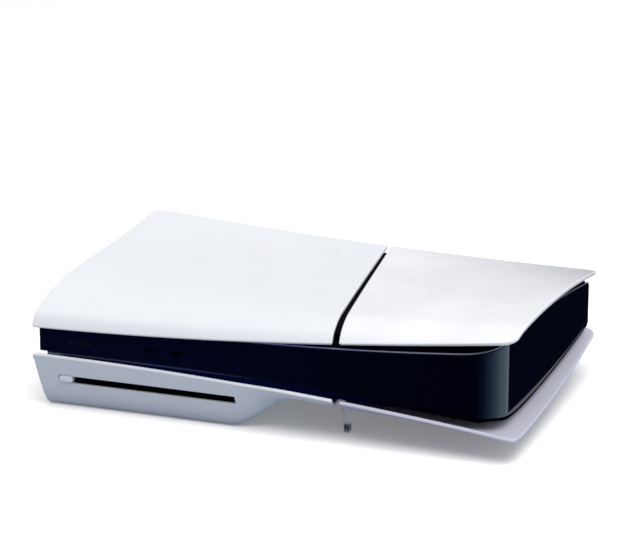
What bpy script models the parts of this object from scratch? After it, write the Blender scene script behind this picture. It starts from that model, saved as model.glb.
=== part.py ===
"""Slim game console lying flat: a glossy black body held between four white panels.

The object stands on z = 0, with its length along X, its front at -Y and its mid-plane at MID_Z.
Every size below is in millimetres, and MM turns it into metres where a mesh is made.
"""

import math

import bmesh
import bpy
from mathutils import Matrix, Vector

MM = 0.001
GAP = 0.3                    # clearance between pieces that touch

# Overall size
LENGTH = 358.0
DEPTH = 216.0
MID_Z = 56.0                 # the panels mirror each other about this height

# Panels
PANEL_THICKNESS = 2.6
LEFT_EDGE_TAPER = 7.0        # the left edge slants in by this much towards the rear
RIGHT_EDGE_TAPER = 2.5       # the right edge slants out by this much towards the rear
FRONT_EDGE_SWEEP = 3.5       # the front edge slants back by this much towards the right
CORNER_RADIUS = 9.0
FRONT_LEFT_RADIUS = 1.5      # the front left corner is much tighter than the others
REAR_EDGE_TRIM = 0.4         # keeps the tilted rear edge inside the depth
GAP_FRONT_X = (46.0, 51.3)   # the slit between the panels, at the front edge
GAP_REAR_X = (16.0, 19.1)    # and at the rear edge
LIP_REACH = 8.0              # how far back the rolled front lip starts
LOWER_RIM_DROP = 4.8         # the lower covers' front rim droops by this at the left end
LOWER_DROP_REACH = 60.0      # and the droop is gone this far behind the rim

# Body
BODY_FRONT_Y = -102.0
BODY_REAR_Y = 102.0
BODY_LEFT_X = (-175.8, -170.0)
BODY_RIGHT_X = (163.7, 174.0)
BODY_CORNER_RADIUS = 26.0
WALL = 2.5
RIM_BELOW_PANEL = 8.5        # rear and left rims sit this far below the panels' outer face
SHELL_BELOW_PANEL = 6.0
SHELL_WALL = 2.0
SHELL_INSET = 3.1
SHELL_SHOULDER = 10.0        # width of the sloped shoulder round each shell
SHELL_RIM_END_Y = 60.0       # behind this the shell's rim follows the panel alone
SHELL_RING_OVERLAP = 5.0     # how far the upright rim reaches towards the mid-plane
GUIDE_HEIGHT = 1.2
GUIDE_WALL = 1.7

# Disc drive
SLOT_X = (-149.6, -27.2)
SLOT_START = -152.0               # the cut runs on into the eject button's hole
SLOT_Z = 25.0
SLOT_HEIGHT = 4.8
BULGE_FALL_X = (-37.0, 17.0)     # the bulge fades into the thin panel between these
BULGE_FRONT_SLOPE = 2.5
BULGE_FRONT_ROUNDING = 16.0
BULGE_LEFT_SLOPE = 16.0
BULGE_LEFT_RADIUS = 4.0          # between the left wall and the flat bottom
BULGE_REAR_START = 62.0
BULGE_REAR_SLOPE = 0.42
BULGE_REAR_ROUNDING = 7.0
DRIVE_X = (-162.0, -25.6)
DRIVE_Y = (-86.0, 52.0)
DRIVE_Z = (7.0, 29.6)
DRIVE_ROOF_Z = 30.2              # the lower shell stays above this over the drive
DRIVE_WALL = 1.2
DISC_CENTRE = (-88.4, -18.0)
ROLLER_RADIUS = 3.5
ROLLER_Y = -78.0
ROD_Z = 13.0                     # guide rods and lead screw
ROD_RADIUS = 1.5
ROD_START = 15.0                 # the rods start this far behind the disc's centre
ROD_SPREAD = 18.0                # guide rods to either side of the disc's centre line
LEAD_SCREW_OFFSET = 28.0
SLED_START = 16.5                # the sled's front edge, behind the disc's centre
SLED_SIZE = (44.0, 16.0, 7.0)
SLED_MOTOR_RADIUS = 4.5
SLED_MOTOR_LENGTH = 10.5
SPINDLE_MOTOR_RADIUS = 13.0
SPINDLE_MOTOR_HEIGHT = 6.5

# Buttons and front sockets
POWER_BUTTON_X = (-148.2, -135.0)
POWER_BUTTON_Z = 53.2
POWER_BUTTON_HEIGHT = 1.8
POWER_BUTTON_Y = (-102.5, -96.0)
EJECT_BUTTON_X = (-161.6, -151.4)
EJECT_BUTTON_HEIGHT = 5.0
EJECT_BUTTON_Y = (-101.2, -92.2)
USB_C_X = (-89.5, -70.5)
USB_C_Z = 54.0
USB_C_SIZE = (9.0, 3.2)

# Cooling
FAN_CENTRE = (95.0, -14.0)
FAN_WALL = 1.6
FAN_LOWER_INTAKE = 30.0
ROTOR_INSET = 2.6                # the rotor's clearance to the housing's outer faces
ROTOR_BORE = 2.0
ROTOR_HUB = 24.0
BLADE_START = 39.0
FAN_RADIUS = 53.0
FAN_Z = (41.0, 71.0)
FAN_BLADES = 23
INTAKE_RADIUS = 45.0
HEATSINK_X = (-18.0, 150.0)
HEATSINK_Y = (50.0, 93.0)
HEATSINK_Z = (46.0, 67.5)
HEATSINK_FINS = 21
HEATSINK_BASE = 3.0
HEAT_PIPE_RADIUS = 3.0

# Boards
BOARD_Z = 50.9
BOARD_OUTLINE = ((-164, -92), (30, -92), (30, 47), (-24, 47), (-24, 84), (-164, 84))
BOARD_THICKNESS = 1.2
SSD_X = (-62.0, 38.0)
SSD_Y = (52.0, 80.0)
SSD_Z = (68.3, 76.0)
SHELL_SCREWS = ((-150.0, -60.0), (-150.0, 78.0), (12.0, -70.0), (154.0, 74.0))
SHELL_SCREW_LENGTH = 9.0
SCREW_HOLE_RADIUS = 1.9

# Feet
FOOT_FRONT_Y = -71.0
FOOT_REAR_Y = 78.0
FOOT_OFFSET = 2.6            # the stem stands this far right of its blade

COLOURS = {
    # name: (red, green, blue), roughness, metallic
    "white_panel": ((0.83, 0.85, 0.90), 0.35, 0.0),
    "gloss_black": ((0.004, 0.005, 0.010), 0.06, 0.0),
    "satin_black": ((0.010, 0.011, 0.014), 0.45, 0.0),
    "light_guide": ((0.36, 0.37, 0.62), 0.25, 0.0),
    "button_white": ((0.78, 0.80, 0.86), 0.35, 0.0),
    "button_black": ((0.03, 0.03, 0.04), 0.30, 0.0),
    "socket_steel": ((0.55, 0.56, 0.58), 0.30, 1.0),
    "socket_black": ((0.02, 0.02, 0.022), 0.50, 0.0),
    "clear_plastic": ((0.72, 0.78, 0.86), 0.08, 0.0),
    "fan_black": ((0.015, 0.015, 0.017), 0.45, 0.0),
    "aluminium_fins": ((0.72, 0.73, 0.75), 0.35, 1.0),
    "copper": ((0.80, 0.42, 0.25), 0.30, 1.0),
    "zinc_sheet": ((0.60, 0.61, 0.62), 0.40, 1.0),
    "board_green": ((0.02, 0.07, 0.05), 0.45, 0.0),
    "chip_black": ((0.03, 0.03, 0.033), 0.35, 0.0),
    "screw_steel": ((0.35, 0.35, 0.37), 0.35, 1.0),
    "rubber": ((0.03, 0.03, 0.03), 0.80, 0.0),
    "lens_glass": ((0.10, 0.12, 0.30), 0.05, 0.0),
}


# ---------------------------------------------------------------- scene helpers

def clear_scene():
    for thing in list(bpy.data.objects):
        bpy.data.objects.remove(thing, do_unlink=True)


def make_collection(name):
    collection = bpy.data.collections.new(name)
    bpy.context.scene.collection.children.link(collection)
    return collection


def make_material(name):
    colour, roughness, metallic = COLOURS[name]
    material = bpy.data.materials.get(name) or bpy.data.materials.new(name)
    material.use_nodes = True
    shader = material.node_tree.nodes["Principled BSDF"]
    shader.inputs["Base Color"].default_value = (*colour, 1.0)
    shader.inputs["Roughness"].default_value = roughness
    shader.inputs["Metallic"].default_value = metallic
    if name == "clear_plastic":
        shader.inputs["Transmission Weight"].default_value = 0.9
    return material


def add_object(name, mesh, material, smooth=None):
    """Put a mesh in the parts collection; smooth is the largest angle shaded smooth."""
    piece = bpy.data.objects.new(name, mesh)
    mesh.materials.append(make_material(material))
    if smooth is not None:
        mesh.shade_smooth()
        mesh.set_sharp_from_angle(angle=math.radians(smooth))
    parts.objects.link(piece)
    return piece


def finish_mesh(name, bm):
    """Scale a millimetre bmesh to metres and hand it over as a mesh."""
    bmesh.ops.remove_doubles(bm, verts=bm.verts, dist=1e-4)
    bmesh.ops.scale(bm, verts=bm.verts, vec=(MM, MM, MM))
    mesh = bpy.data.meshes.new(name)
    bm.to_mesh(mesh)
    bm.free()
    return mesh


def as_cutter(name, mesh):
    cutter = bpy.data.objects.new(name, mesh)
    cutter.hide_render = True
    cutter.display_type = "WIRE"
    cutters.objects.link(cutter)
    return cutter


def combine(piece, other, operation):
    modifier = piece.modifiers.new(operation.lower(), "BOOLEAN")
    modifier.operation = operation
    modifier.solver = "EXACT"
    modifier.object = other


def thicken(piece, thickness):
    modifier = piece.modifiers.new("thickness", "SOLIDIFY")
    modifier.thickness = thickness * MM
    modifier.offset = -1.0
    modifier.use_even_offset = True


def round_edges(piece, width, segments=2):
    modifier = piece.modifiers.new("rounded", "BEVEL")
    modifier.width = width * MM
    modifier.segments = segments
    modifier.limit_method = "ANGLE"


# ---------------------------------------------------------------- simple solids

def box_mesh(name, low, high):
    bm = bmesh.new()
    bmesh.ops.create_cube(bm, size=1.0)
    low = Vector(low)
    high = Vector(high)
    bmesh.ops.scale(bm, verts=bm.verts, vec=high - low)
    bmesh.ops.translate(bm, verts=bm.verts, vec=(low + high) / 2)
    return finish_mesh(name, bm)


def box(name, low, high, material, rounding=0.0):
    piece = add_object(name, box_mesh(name, low, high), material)
    if rounding:
        round_edges(piece, rounding)
    return piece


def box_cutter(name, low, high):
    return as_cutter(name, box_mesh(name, low, high))


def cylinder_mesh(name, radius, start, end, sides=32):
    """A closed cylinder from one point to another."""
    bm = bmesh.new()
    start = Vector(start)
    end = Vector(end)
    bmesh.ops.create_cone(bm, cap_ends=True, segments=sides, radius1=radius, radius2=radius,
                          depth=(end - start).length)
    turn = Vector((0, 0, 1)).rotation_difference(end - start).to_matrix()
    bmesh.ops.rotate(bm, verts=bm.verts, cent=(0, 0, 0), matrix=turn)
    bmesh.ops.translate(bm, verts=bm.verts, vec=(start + end) / 2)
    return finish_mesh(name, bm)


def move_origin(piece, point):
    """Put the object's origin at a point and leave its shape where it is."""
    place = Vector(point) * MM
    piece.data.transform(Matrix.Translation(-place))
    piece.location = place


def cylinder(name, radius, start, end, material, sides=32):
    """A cylinder whose origin lies on its own axis, half way along."""
    piece = add_object(name, cylinder_mesh(name, radius, start, end, sides), material, smooth=40)
    move_origin(piece, (Vector(start) + Vector(end)) / 2)
    return piece


def spun_piece(name, profile, centre, material, steps=24, closed=True):
    """Turn a profile of (radius, z) points about Z; its outer side runs downwards.

    An open profile starts and ends on the axis. The object's origin sits on the turning axis.
    """
    bm = bmesh.new()
    corners = [bm.verts.new((radius, 0.0, z)) for radius, z in profile]
    for first, second in zip(corners, corners[1:]):
        bm.edges.new((first, second))
    if closed:
        bm.edges.new((corners[-1], corners[0]))
    piece = add_object(name, finish_mesh(name, bm), material)
    piece.location = Vector(centre) * MM
    screw = piece.modifiers.new("turned", "SCREW")
    screw.angle = math.tau
    screw.steps = steps
    screw.render_steps = steps
    screw.use_merge_vertices = True
    screw.merge_threshold = 0.00001
    return piece


def stacked_block(name, sections, place, turn, material):
    """A block through rectangular sections (z, offset x, width x, width y), turned about Z."""
    bm = bmesh.new()
    loops = []
    for z, x, wide, deep in sections:
        signs = ((-1, -1), (1, -1), (1, 1), (-1, 1))
        loops.append([bm.verts.new((x + sx * wide / 2, sy * deep / 2, z)) for sx, sy in signs])
    for lower, upper in zip(loops, loops[1:]):
        for k in range(4):
            bm.faces.new((lower[k], lower[k - 3], upper[k - 3], upper[k]))
    bm.faces.new(reversed(loops[0]))
    bm.faces.new(loops[-1])
    piece = add_object(name, finish_mesh(name, bm), material)
    piece.location = Vector((*place, 0.0)) * MM
    piece.rotation_euler.z = turn
    return piece


def flat_piece(name, outline, z, thickness, material):
    """A flat plate: a filled 2D curve through the outline, extruded both ways."""
    curve = bpy.data.curves.new(name, "CURVE")
    curve.dimensions = "2D"
    curve.fill_mode = "BOTH"
    curve.extrude = thickness / 2 * MM
    spline = curve.splines.new("POLY")
    spline.points.add(len(outline) - 1)
    for point, (x, y) in zip(spline.points, outline):
        point.co = (x * MM, y * MM, 0.0, 1.0)
    spline.use_cyclic_u = True
    curve.materials.append(make_material(material))
    piece = bpy.data.objects.new(name, curve)
    piece.location.z = (z + thickness / 2) * MM
    parts.objects.link(piece)
    return piece


def tube(name, route, radius, material):
    """A round tube through the points of a route."""
    curve = bpy.data.curves.new(name, "CURVE")
    curve.dimensions = "3D"
    curve.bevel_depth = radius * MM
    curve.bevel_resolution = 2
    curve.use_fill_caps = True
    spline = curve.splines.new("POLY")
    spline.points.add(len(route) - 1)
    for point, place in zip(spline.points, route):
        point.co = (*(Vector(place) * MM), 1.0)
    curve.materials.append(make_material(material))
    piece = bpy.data.objects.new(name, curve)
    parts.objects.link(piece)
    return piece


def pill_mesh(name, x_range, z, height, y_range):
    """A bar along X with fully rounded ends, between two y values."""
    radius = height / 2
    left = x_range[0] + radius
    right = x_range[1] - radius
    bm = bmesh.new()
    ring = []
    for centre, start in ((right, -90), (left, 90)):
        for step in range(7):
            angle = math.radians(start + 30 * step)
            ring.append((centre + radius * math.cos(angle), z + radius * math.sin(angle)))
    front = bm.faces.new([bm.verts.new((x, y_range[0], height_z)) for x, height_z in ring])
    grown = bmesh.ops.extrude_face_region(bm, geom=[front])
    back = [item for item in grown["geom"] if isinstance(item, bmesh.types.BMVert)]
    bmesh.ops.translate(bm, verts=back, vec=(0, y_range[1] - y_range[0], 0))
    bmesh.ops.recalc_face_normals(bm, faces=bm.faces)
    return finish_mesh(name, bm)


# ---------------------------------------------------------------- the panels' shape

def smooth_step(value):
    value = min(max(value, 0.0), 1.0)
    return value * value * (3 - 2 * value)


def smooth_max(first, second, rounding):
    """The larger of two values, with the crossing rounded over."""
    share = max(rounding - abs(first - second), 0.0)
    return max(first, second) + share * share / (4 * rounding)


def panel_crown(u, v):
    """Height of the broad wave, before the front roll: u left to right, v front to rear."""
    left = 31.3 + 5.7 * v ** 5
    middle = 31.6 - 6.3 * v ** 2
    right = 40.0 - 23.8 * (v - 0.17) ** 2
    at = 0.6                                 # the middle profile's place along the length
    bend = ((right - left) - (middle - left) / at) / (1 - at)
    slope = (right - left) - bend
    return left + slope * u + bend * u * u


def panel_height(x, y):
    """Height of a panel's outer face above the mid-plane."""
    u = (x + LENGTH / 2) / LENGTH
    front = front_edge_y(x)
    v = (y - front) / (DEPTH / 2 - front)
    rim = 7.9 + 6.2 * u + 22.5 * u * u
    lip = 7.0 - 6.5 * u
    roll_width = 0.45 - 0.6 * u + 0.3 * u * u
    roll = panel_crown(u, 0.0) - rim - lip
    roll_share = max(1 - max(v, 0.0) / roll_width, 0.0) ** 2.5
    lip_share = max(1 - max(y - front, 0.0) / LIP_REACH, 0.0) ** 2
    return panel_crown(u, min(max(v, 0.0), 1.0)) - roll * roll_share - lip * lip_share


def lower_cover_z(x, y):
    """Outer face of the lower covers: the upper ones mirrored, with a drooping front rim."""
    u = (x + LENGTH / 2) / LENGTH
    droop = max(1 - 1.1 * u - (y - front_edge_y(x)) / LOWER_DROP_REACH, 0.0)
    return MID_Z - panel_height(x, y) - LOWER_RIM_DROP * droop


def front_edge_y(x):
    return -DEPTH / 2 + FRONT_EDGE_SWEEP * (x + LENGTH / 2) / LENGTH


def left_edge_x(v):
    return -LENGTH / 2 + LEFT_EDGE_TAPER * v


def right_edge_x(v):
    return LENGTH / 2 - RIGHT_EDGE_TAPER * (1 - v)


def slit_x(v, side):
    return GAP_FRONT_X[side] + (GAP_REAR_X[side] - GAP_FRONT_X[side]) * v


def corner_inset(distance, radius):
    """How far an edge draws in at a distance from the next edge, for a round corner."""
    reach = max(radius - distance, 0.0)
    return radius - math.sqrt(radius * radius - reach * reach)


def left_start_x(v):
    """The left panels' edge, drawn in at both of its corners."""
    radius = FRONT_LEFT_RADIUS if v < 0.5 else CORNER_RADIUS
    return left_edge_x(v) + corner_inset(max(min(v, 1 - v), 0.0) * DEPTH, radius)


def crowded(count):
    """Shares from 0 to 1, closer together at both ends."""
    return [(1 - math.cos(math.pi * k / count)) / 2 for k in range(count + 1)]


def sheet(name, columns, rows, place, material, facing_down=False):
    """An open sheet: a grid whose vertex at (column, row) goes to place(column, row)."""
    bm = bmesh.new()
    wide = len(columns) - 1
    deep = len(rows) - 1
    bmesh.ops.create_grid(bm, x_segments=wide, y_segments=deep, size=1.0)
    for vert in bm.verts:
        i = round((vert.co.x + 1) / 2 * wide)
        j = round((vert.co.y + 1) / 2 * deep)
        vert.co = place(columns[i], rows[j])
    if facing_down:
        bmesh.ops.reverse_faces(bm, faces=bm.faces)
    return add_object(name, finish_mesh(name, bm), material, smooth=50)


def panel_plan(s, v, left_side):
    """Plan position on one panel: s left to right across it, v front to rear."""
    if left_side:
        start = left_start_x(v)
        end = slit_x(v, 0)
    else:
        start = slit_x(v, 1)
        end = right_edge_x(v) - corner_inset(min(v, 1 - v) * DEPTH, CORNER_RADIUS)
    x = start + (end - start) * s
    front = front_edge_y(x)
    return x, front + (DEPTH / 2 - REAR_EDGE_TRIM - front) * v


def panel(name, left_side, upward):
    """One wavy cover panel of even thickness."""
    def place(s, v):
        x, y = panel_plan(s, v, left_side)
        return x, y, MID_Z + panel_height(x, y) if upward else lower_cover_z(x, y)

    columns = [k / 12 for k in range(13)] if left_side else [k / 8 for k in range(9)]
    piece = sheet(name, columns, crowded(17), place, "white_panel", facing_down=not upward)
    thicken(piece, PANEL_THICKNESS)
    return piece


# ---------------------------------------------------------------- drive cover

def left_wall_z(from_edge, rim):
    """Height of the bulge's left wall: a steep slope that runs out in a round corner."""
    slope = rim - BULGE_LEFT_SLOPE * from_edge
    round_start = (rim - BULGE_LEFT_RADIUS) / BULGE_LEFT_SLOPE
    return max(slope, corner_inset(max(from_edge - round_start, 0.0), BULGE_LEFT_RADIUS))


def drive_cover_z(x, y):
    """Outer face of the drive cover: the mirrored panel, pushed out by the drive's bulge."""
    base = lower_cover_z(x, y)
    from_front = y - front_edge_y(x)
    v = from_front / (DEPTH / 2 - front_edge_y(x))
    front_rim = lower_cover_z(x, front_edge_y(x))
    left_rim = MID_Z - panel_height(left_edge_x(v), y)
    front_wall = front_rim - BULGE_FRONT_SLOPE * from_front
    rear_wall = (y - BULGE_REAR_START) * BULGE_REAR_SLOPE
    bulge = smooth_max(front_wall, 0.0, BULGE_FRONT_ROUNDING)
    bulge = max(bulge, left_wall_z(x - left_start_x(v), left_rim))
    bulge = smooth_max(rear_wall, bulge, BULGE_REAR_ROUNDING)
    fall = (x - BULGE_FALL_X[0]) / (BULGE_FALL_X[1] - BULGE_FALL_X[0])
    share = 1 - smooth_step(fall)
    return min(base, base + (bulge - base) * share)


def make_slit_liner():
    """A dark strip that backs the slit between the top panels."""
    def place(side, v):
        x = (slit_x(v, 0) + slit_x(v, 1)) / 2 + side
        front = BODY_FRONT_Y + 7.0
        y = front + (BODY_REAR_Y - 3 - front) * v
        return x, y, MID_Z + panel_height(x, y) - PANEL_THICKNESS - 3 * GAP

    liner = sheet("upper_slit_liner", (-4.5, 4.5), crowded(14), place, "satin_black")
    thicken(liner, 2.2)


def make_drive_cover():
    """The lower left panel, bulged down over the disc drive, with its slot."""
    edge_steps = (0, 2.7, 3.9, 6.7, 11, 17)
    fall_steps = [BULGE_FALL_X[0] + 5.5 * k for k in range(10)]
    slit_steps = (28, 40)
    width = slit_x(0, 0) - left_edge_x(0)
    columns = [step / width for step in edge_steps]
    columns += [(x - left_edge_x(0)) / width for x in (-150, -135, -110, -85, -60, -42)]
    columns += [(x - left_edge_x(0)) / width for x in (*fall_steps, *slit_steps)]
    columns.append(1.0)
    front_steps = (0, 2, 5, 9, 13, 15.5, 18, 21, 26)
    rear_steps = (34, 50, 75, 100, 130, 155, 163, 170, 178, 188, 198, 207, 212, DEPTH)
    rows = [step / DEPTH for step in (*front_steps, *rear_steps)]

    def place(s, v):
        x, y = panel_plan(s, v, True)
        return x, y, drive_cover_z(x, y)

    cover = sheet("drive_cover", columns, rows, place, "white_panel", facing_down=True)
    thicken(cover, PANEL_THICKNESS)
    slot = box_cutter("slot_cutter",
                      (SLOT_START, -115, SLOT_Z - SLOT_HEIGHT / 2),
                      (SLOT_X[1], -88, SLOT_Z + SLOT_HEIGHT / 2))
    combine(cover, slot, "DIFFERENCE")
    hole = pill_mesh("eject_hole_cutter",
                     (EJECT_BUTTON_X[0] - GAP, EJECT_BUTTON_X[1] + GAP), SLOT_Z,
                     EJECT_BUTTON_HEIGHT + 2 * GAP, (-115, -85))
    combine(cover, as_cutter("eject_hole_cutter", hole), "DIFFERENCE")


# ---------------------------------------------------------------- body outline

def body_left_x(y):
    return BODY_LEFT_X[0] + (BODY_LEFT_X[1] - BODY_LEFT_X[0]) * (y - BODY_FRONT_Y) / (
        BODY_REAR_Y - BODY_FRONT_Y)


def body_right_x(y):
    return BODY_RIGHT_X[0] + (BODY_RIGHT_X[1] - BODY_RIGHT_X[0]) * (y - BODY_FRONT_Y) / (
        BODY_REAR_Y - BODY_FRONT_Y)


def rim_height(x, y):
    """Half height of the gloss band along the front and the right end."""
    u = (x + LENGTH / 2) / LENGTH
    rise = 3.5 * smooth_step((y - BODY_FRONT_Y) / 45)
    fall = 14.0 * (max(y + 50, 0.0) / 150) ** 1.6
    return 11.2 + 15.2 * u ** 3 + rise - fall


def side_rim_height(x, y):
    """Half height of the band along the left end and the rear."""
    return panel_height(x, y) - RIM_BELOW_PANEL


def band_path(inset, start_x):
    """Plan points along the front, round the front right corner and back to the rear."""
    front = BODY_FRONT_Y + inset
    radius = BODY_CORNER_RADIUS - inset
    slant = math.atan2(BODY_RIGHT_X[1] - BODY_RIGHT_X[0], BODY_REAR_Y - BODY_FRONT_Y)
    centre_y = BODY_FRONT_Y + BODY_CORNER_RADIUS
    reach = BODY_CORNER_RADIUS / math.cos(slant)
    centre_x = body_right_x(centre_y) - reach
    points = []
    count = 13
    for k in range(count):
        points.append((start_x + (centre_x - start_x) * k / count, front))
    turn = math.pi / 2 - slant
    for k in range(11):
        angle = -math.pi / 2 + turn * k / 10
        points.append((centre_x + radius * math.cos(angle), centre_y + radius * math.sin(angle)))
    first_y = points[-1][1]
    end_y = BODY_REAR_Y - 0.2
    for k in range(1, 10):
        y = first_y + (end_y - first_y) * k / 9
        points.append((body_right_x(y) - inset / math.cos(slant), y))
    return points


def strip(name, points, low, high, wall, material):
    """An upright band along plan points, between two heights, thickened inwards."""
    def place(index, share):
        x, y = points[index]
        bottom = low(x, y)
        return x, y, bottom + (high(x, y) - bottom) * share

    piece = sheet(name, range(len(points)), (0.0, 1.0), place, material)
    thicken(piece, wall)
    return piece


def make_front_fascia():
    points = band_path(0.0, body_left_x(BODY_FRONT_Y) + 0.2)
    fascia = strip("front_fascia", points,
                   lambda x, y: MID_Z - rim_height(x, y),
                   lambda x, y: MID_Z + rim_height(x, y), WALL, "gloss_black")
    slot = pill_mesh("power_hole_cutter", (POWER_BUTTON_X[0] - GAP, POWER_BUTTON_X[1] + GAP),
                     POWER_BUTTON_Z, POWER_BUTTON_HEIGHT + 2 * GAP,
                     (BODY_FRONT_Y - 4, BODY_FRONT_Y + 8))
    combine(fascia, as_cutter("power_hole_cutter", slot), "DIFFERENCE")
    for side, x in zip(("left", "right"), USB_C_X):
        half = USB_C_SIZE[0] / 2 + GAP
        hole = pill_mesh("usb_c_hole_" + side, (x - half, x + half), USB_C_Z,
                         USB_C_SIZE[1] + 2 * GAP, (BODY_FRONT_Y - 4, BODY_FRONT_Y + 8))
        combine(fascia, as_cutter("usb_c_hole_" + side, hole), "DIFFERENCE")


def make_light_guides():
    """A thin light-guide strip along each rim of the gloss band."""
    points = band_path(0.4, -160.0)
    strip("upper_light_guide", points,
          lambda x, y: MID_Z + rim_height(x, y) + GAP,
          lambda x, y: MID_Z + rim_height(x, y) + GAP + GUIDE_HEIGHT, GUIDE_WALL, "light_guide")
    strip("lower_light_guide", points,
          lambda x, y: MID_Z - rim_height(x, y) - GAP - GUIDE_HEIGHT,
          lambda x, y: MID_Z - rim_height(x, y) - GAP, GUIDE_WALL, "light_guide")


def make_left_end_cap():
    front = BODY_FRONT_Y + WALL + 2 * GAP
    rear = BODY_REAR_Y - WALL - 2 * GAP
    points = []
    for k in range(13):
        y = rear + (front - rear) * k / 12
        points.append((body_left_x(y) + 0.5, y))
    strip("left_end_cap", points,
          lambda x, y: MID_Z - min(side_rim_height(x, y), 12 + 0.35 * (y - front)),
          lambda x, y: MID_Z + min(side_rim_height(x, y), 12 + 0.35 * (y - front)),
          WALL, "satin_black")


def rear_band(name, start_x, end_x, count, material):
    points = []
    for k in range(count + 1):
        points.append((start_x + (end_x - start_x) * k / count, BODY_REAR_Y))
    return strip(name, points,
                 lambda x, y: MID_Z - side_rim_height(x, y),
                 lambda x, y: MID_Z + side_rim_height(x, y), WALL, material)


def make_rear_grille():
    """The slotted rear outlet, from the port plate to the right end."""
    left = -22.0
    right = body_right_x(BODY_REAR_Y) - WALL - 2 * GAP
    grille = rear_band("rear_grille", right, left, 12, "satin_black")
    slots = 22
    pitch = (right - left - 12) / slots
    bm = bmesh.new()
    for k in range(slots):
        x = left + 6 + pitch * (k + 0.5)
        half_height = side_rim_height(x, BODY_REAR_Y) - 4
        made = bmesh.ops.create_cube(bm, size=1.0)["verts"]
        bmesh.ops.scale(bm, verts=made, vec=(pitch * 0.55, 12, 2 * half_height))
        bmesh.ops.translate(bm, verts=made, vec=(x, BODY_REAR_Y, MID_Z))
    combine(grille, as_cutter("grille_cutter", finish_mesh("grille_cutter", bm)), "DIFFERENCE")


# ---------------------------------------------------------------- chassis shells

def shell_place(side, columns, rows, floor_z=None):
    """Placing rule for a shell: two upright rings, a sloped shoulder, then the wavy top."""
    last_column = len(columns) - 1
    last_row = len(rows) - 1

    def place(i, j):
        x_share, x_inset = columns[i]
        y_share, y_inset = rows[j]
        ring = min(i, j, last_column - i, last_row - j)
        front = BODY_FRONT_Y + SHELL_INSET
        rear = BODY_REAR_Y - SHELL_INSET
        y = front + y_inset + (rear - front) * y_share
        radius = BODY_CORNER_RADIUS - SHELL_INSET
        left = body_left_x(y) + SHELL_INSET + 0.6
        right = body_right_x(y) - SHELL_INSET - corner_inset(y - front, radius)
        x = left + x_inset + (right - left) * x_share
        if ring == 0:
            height = shell_rim(x, y) - SHELL_RING_OVERLAP
        elif ring == 1:
            height = shell_rim(x, y) + 1.6
        else:
            height = panel_height(x, y) - SHELL_BELOW_PANEL
        height = max(height, 4.0)
        z = MID_Z + side * height
        if floor_z is not None and x < -10:
            z = max(z, floor_z)
        return x, y, z

    return place


def shell_rim(x, y):
    """Half height at the shells' edge, just inside the band that surrounds them."""
    below_panel = panel_height(x, y) - RIM_BELOW_PANEL - 0.5
    if y < SHELL_RIM_END_Y:
        return min(rim_height(x, y), below_panel)
    return below_panel


def make_shell(name, side, floor_z=None):
    """Half of the chassis: a lid over the works, a little under the panels."""
    shoulder = SHELL_SHOULDER
    columns = [(0, 0), (0, 0.01), (0, shoulder)]
    columns += [(k / 12, 0) for k in range(1, 12)]
    columns += [(1, -shoulder), (1, -0.01), (1, 0)]
    rows = [(0, 0), (0, 0.01), (0, shoulder), (0, 17), (0, 28)]
    rows += [(k / 9, 0) for k in range(2, 9)]
    rows += [(1, -shoulder), (1, -0.01), (1, 0)]
    place = shell_place(side, columns, rows, floor_z)
    shell = sheet(name, range(len(columns)), range(len(rows)), place, "satin_black",
                  facing_down=side < 0)
    thicken(shell, SHELL_WALL)
    return shell


# ---------------------------------------------------------------- buttons and sockets

def make_buttons():
    """The two pill-shaped push buttons, each with its origin at its own centre."""
    for name, x_range, z, height, y_range, material in (
            ("power_button", POWER_BUTTON_X, POWER_BUTTON_Z, POWER_BUTTON_HEIGHT, POWER_BUTTON_Y,
             "button_black"),
            ("eject_button", EJECT_BUTTON_X, SLOT_Z, EJECT_BUTTON_HEIGHT, EJECT_BUTTON_Y,
             "button_white")):
        button = add_object(name, pill_mesh(name, x_range, z, height, y_range), material, smooth=40)
        move_origin(button, (sum(x_range) / 2, sum(y_range) / 2, z))


def make_usb_c_ports():
    """Two small front sockets, each a rounded steel shell with a closed back."""
    for side, x in zip(("left", "right"), USB_C_X):
        name = "usb_c_port_" + side
        half = USB_C_SIZE[0] / 2
        shell = add_object(name, pill_mesh(name, (x - half, x + half), USB_C_Z, USB_C_SIZE[1],
                                           (BODY_FRONT_Y + 0.6, BODY_FRONT_Y + 9)),
                           "socket_steel", smooth=40)
        inner = half - 0.35
        hollow = pill_mesh(name + "_hollow", (x - inner, x + inner), USB_C_Z,
                           USB_C_SIZE[1] - 0.7, (BODY_FRONT_Y - 2, BODY_FRONT_Y + 7.5))
        combine(shell, as_cutter(name + "_hollow", hollow), "DIFFERENCE")


REAR_SOCKETS = {
    # name: (centre x, lowest z, inner width, inner height, wall, depth, material)
    "power_inlet": (-138.0, 56.0, 17.0, 8.6, 1.4, 16.0, "socket_black"),
    "hdmi_port": (-108.0, 52.4, 14.2, 4.8, 0.6, 11.0, "socket_steel"),
    "lan_port": (-84.0, 52.4, 12.0, 9.0, 1.6, 18.0, "socket_steel"),
    "usb_a_port_left": (-60.0, 52.4, 12.6, 5.2, 0.6, 14.0, "socket_steel"),
    "usb_a_port_right": (-40.0, 52.4, 12.6, 5.2, 0.6, 14.0, "socket_steel"),
}


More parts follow.
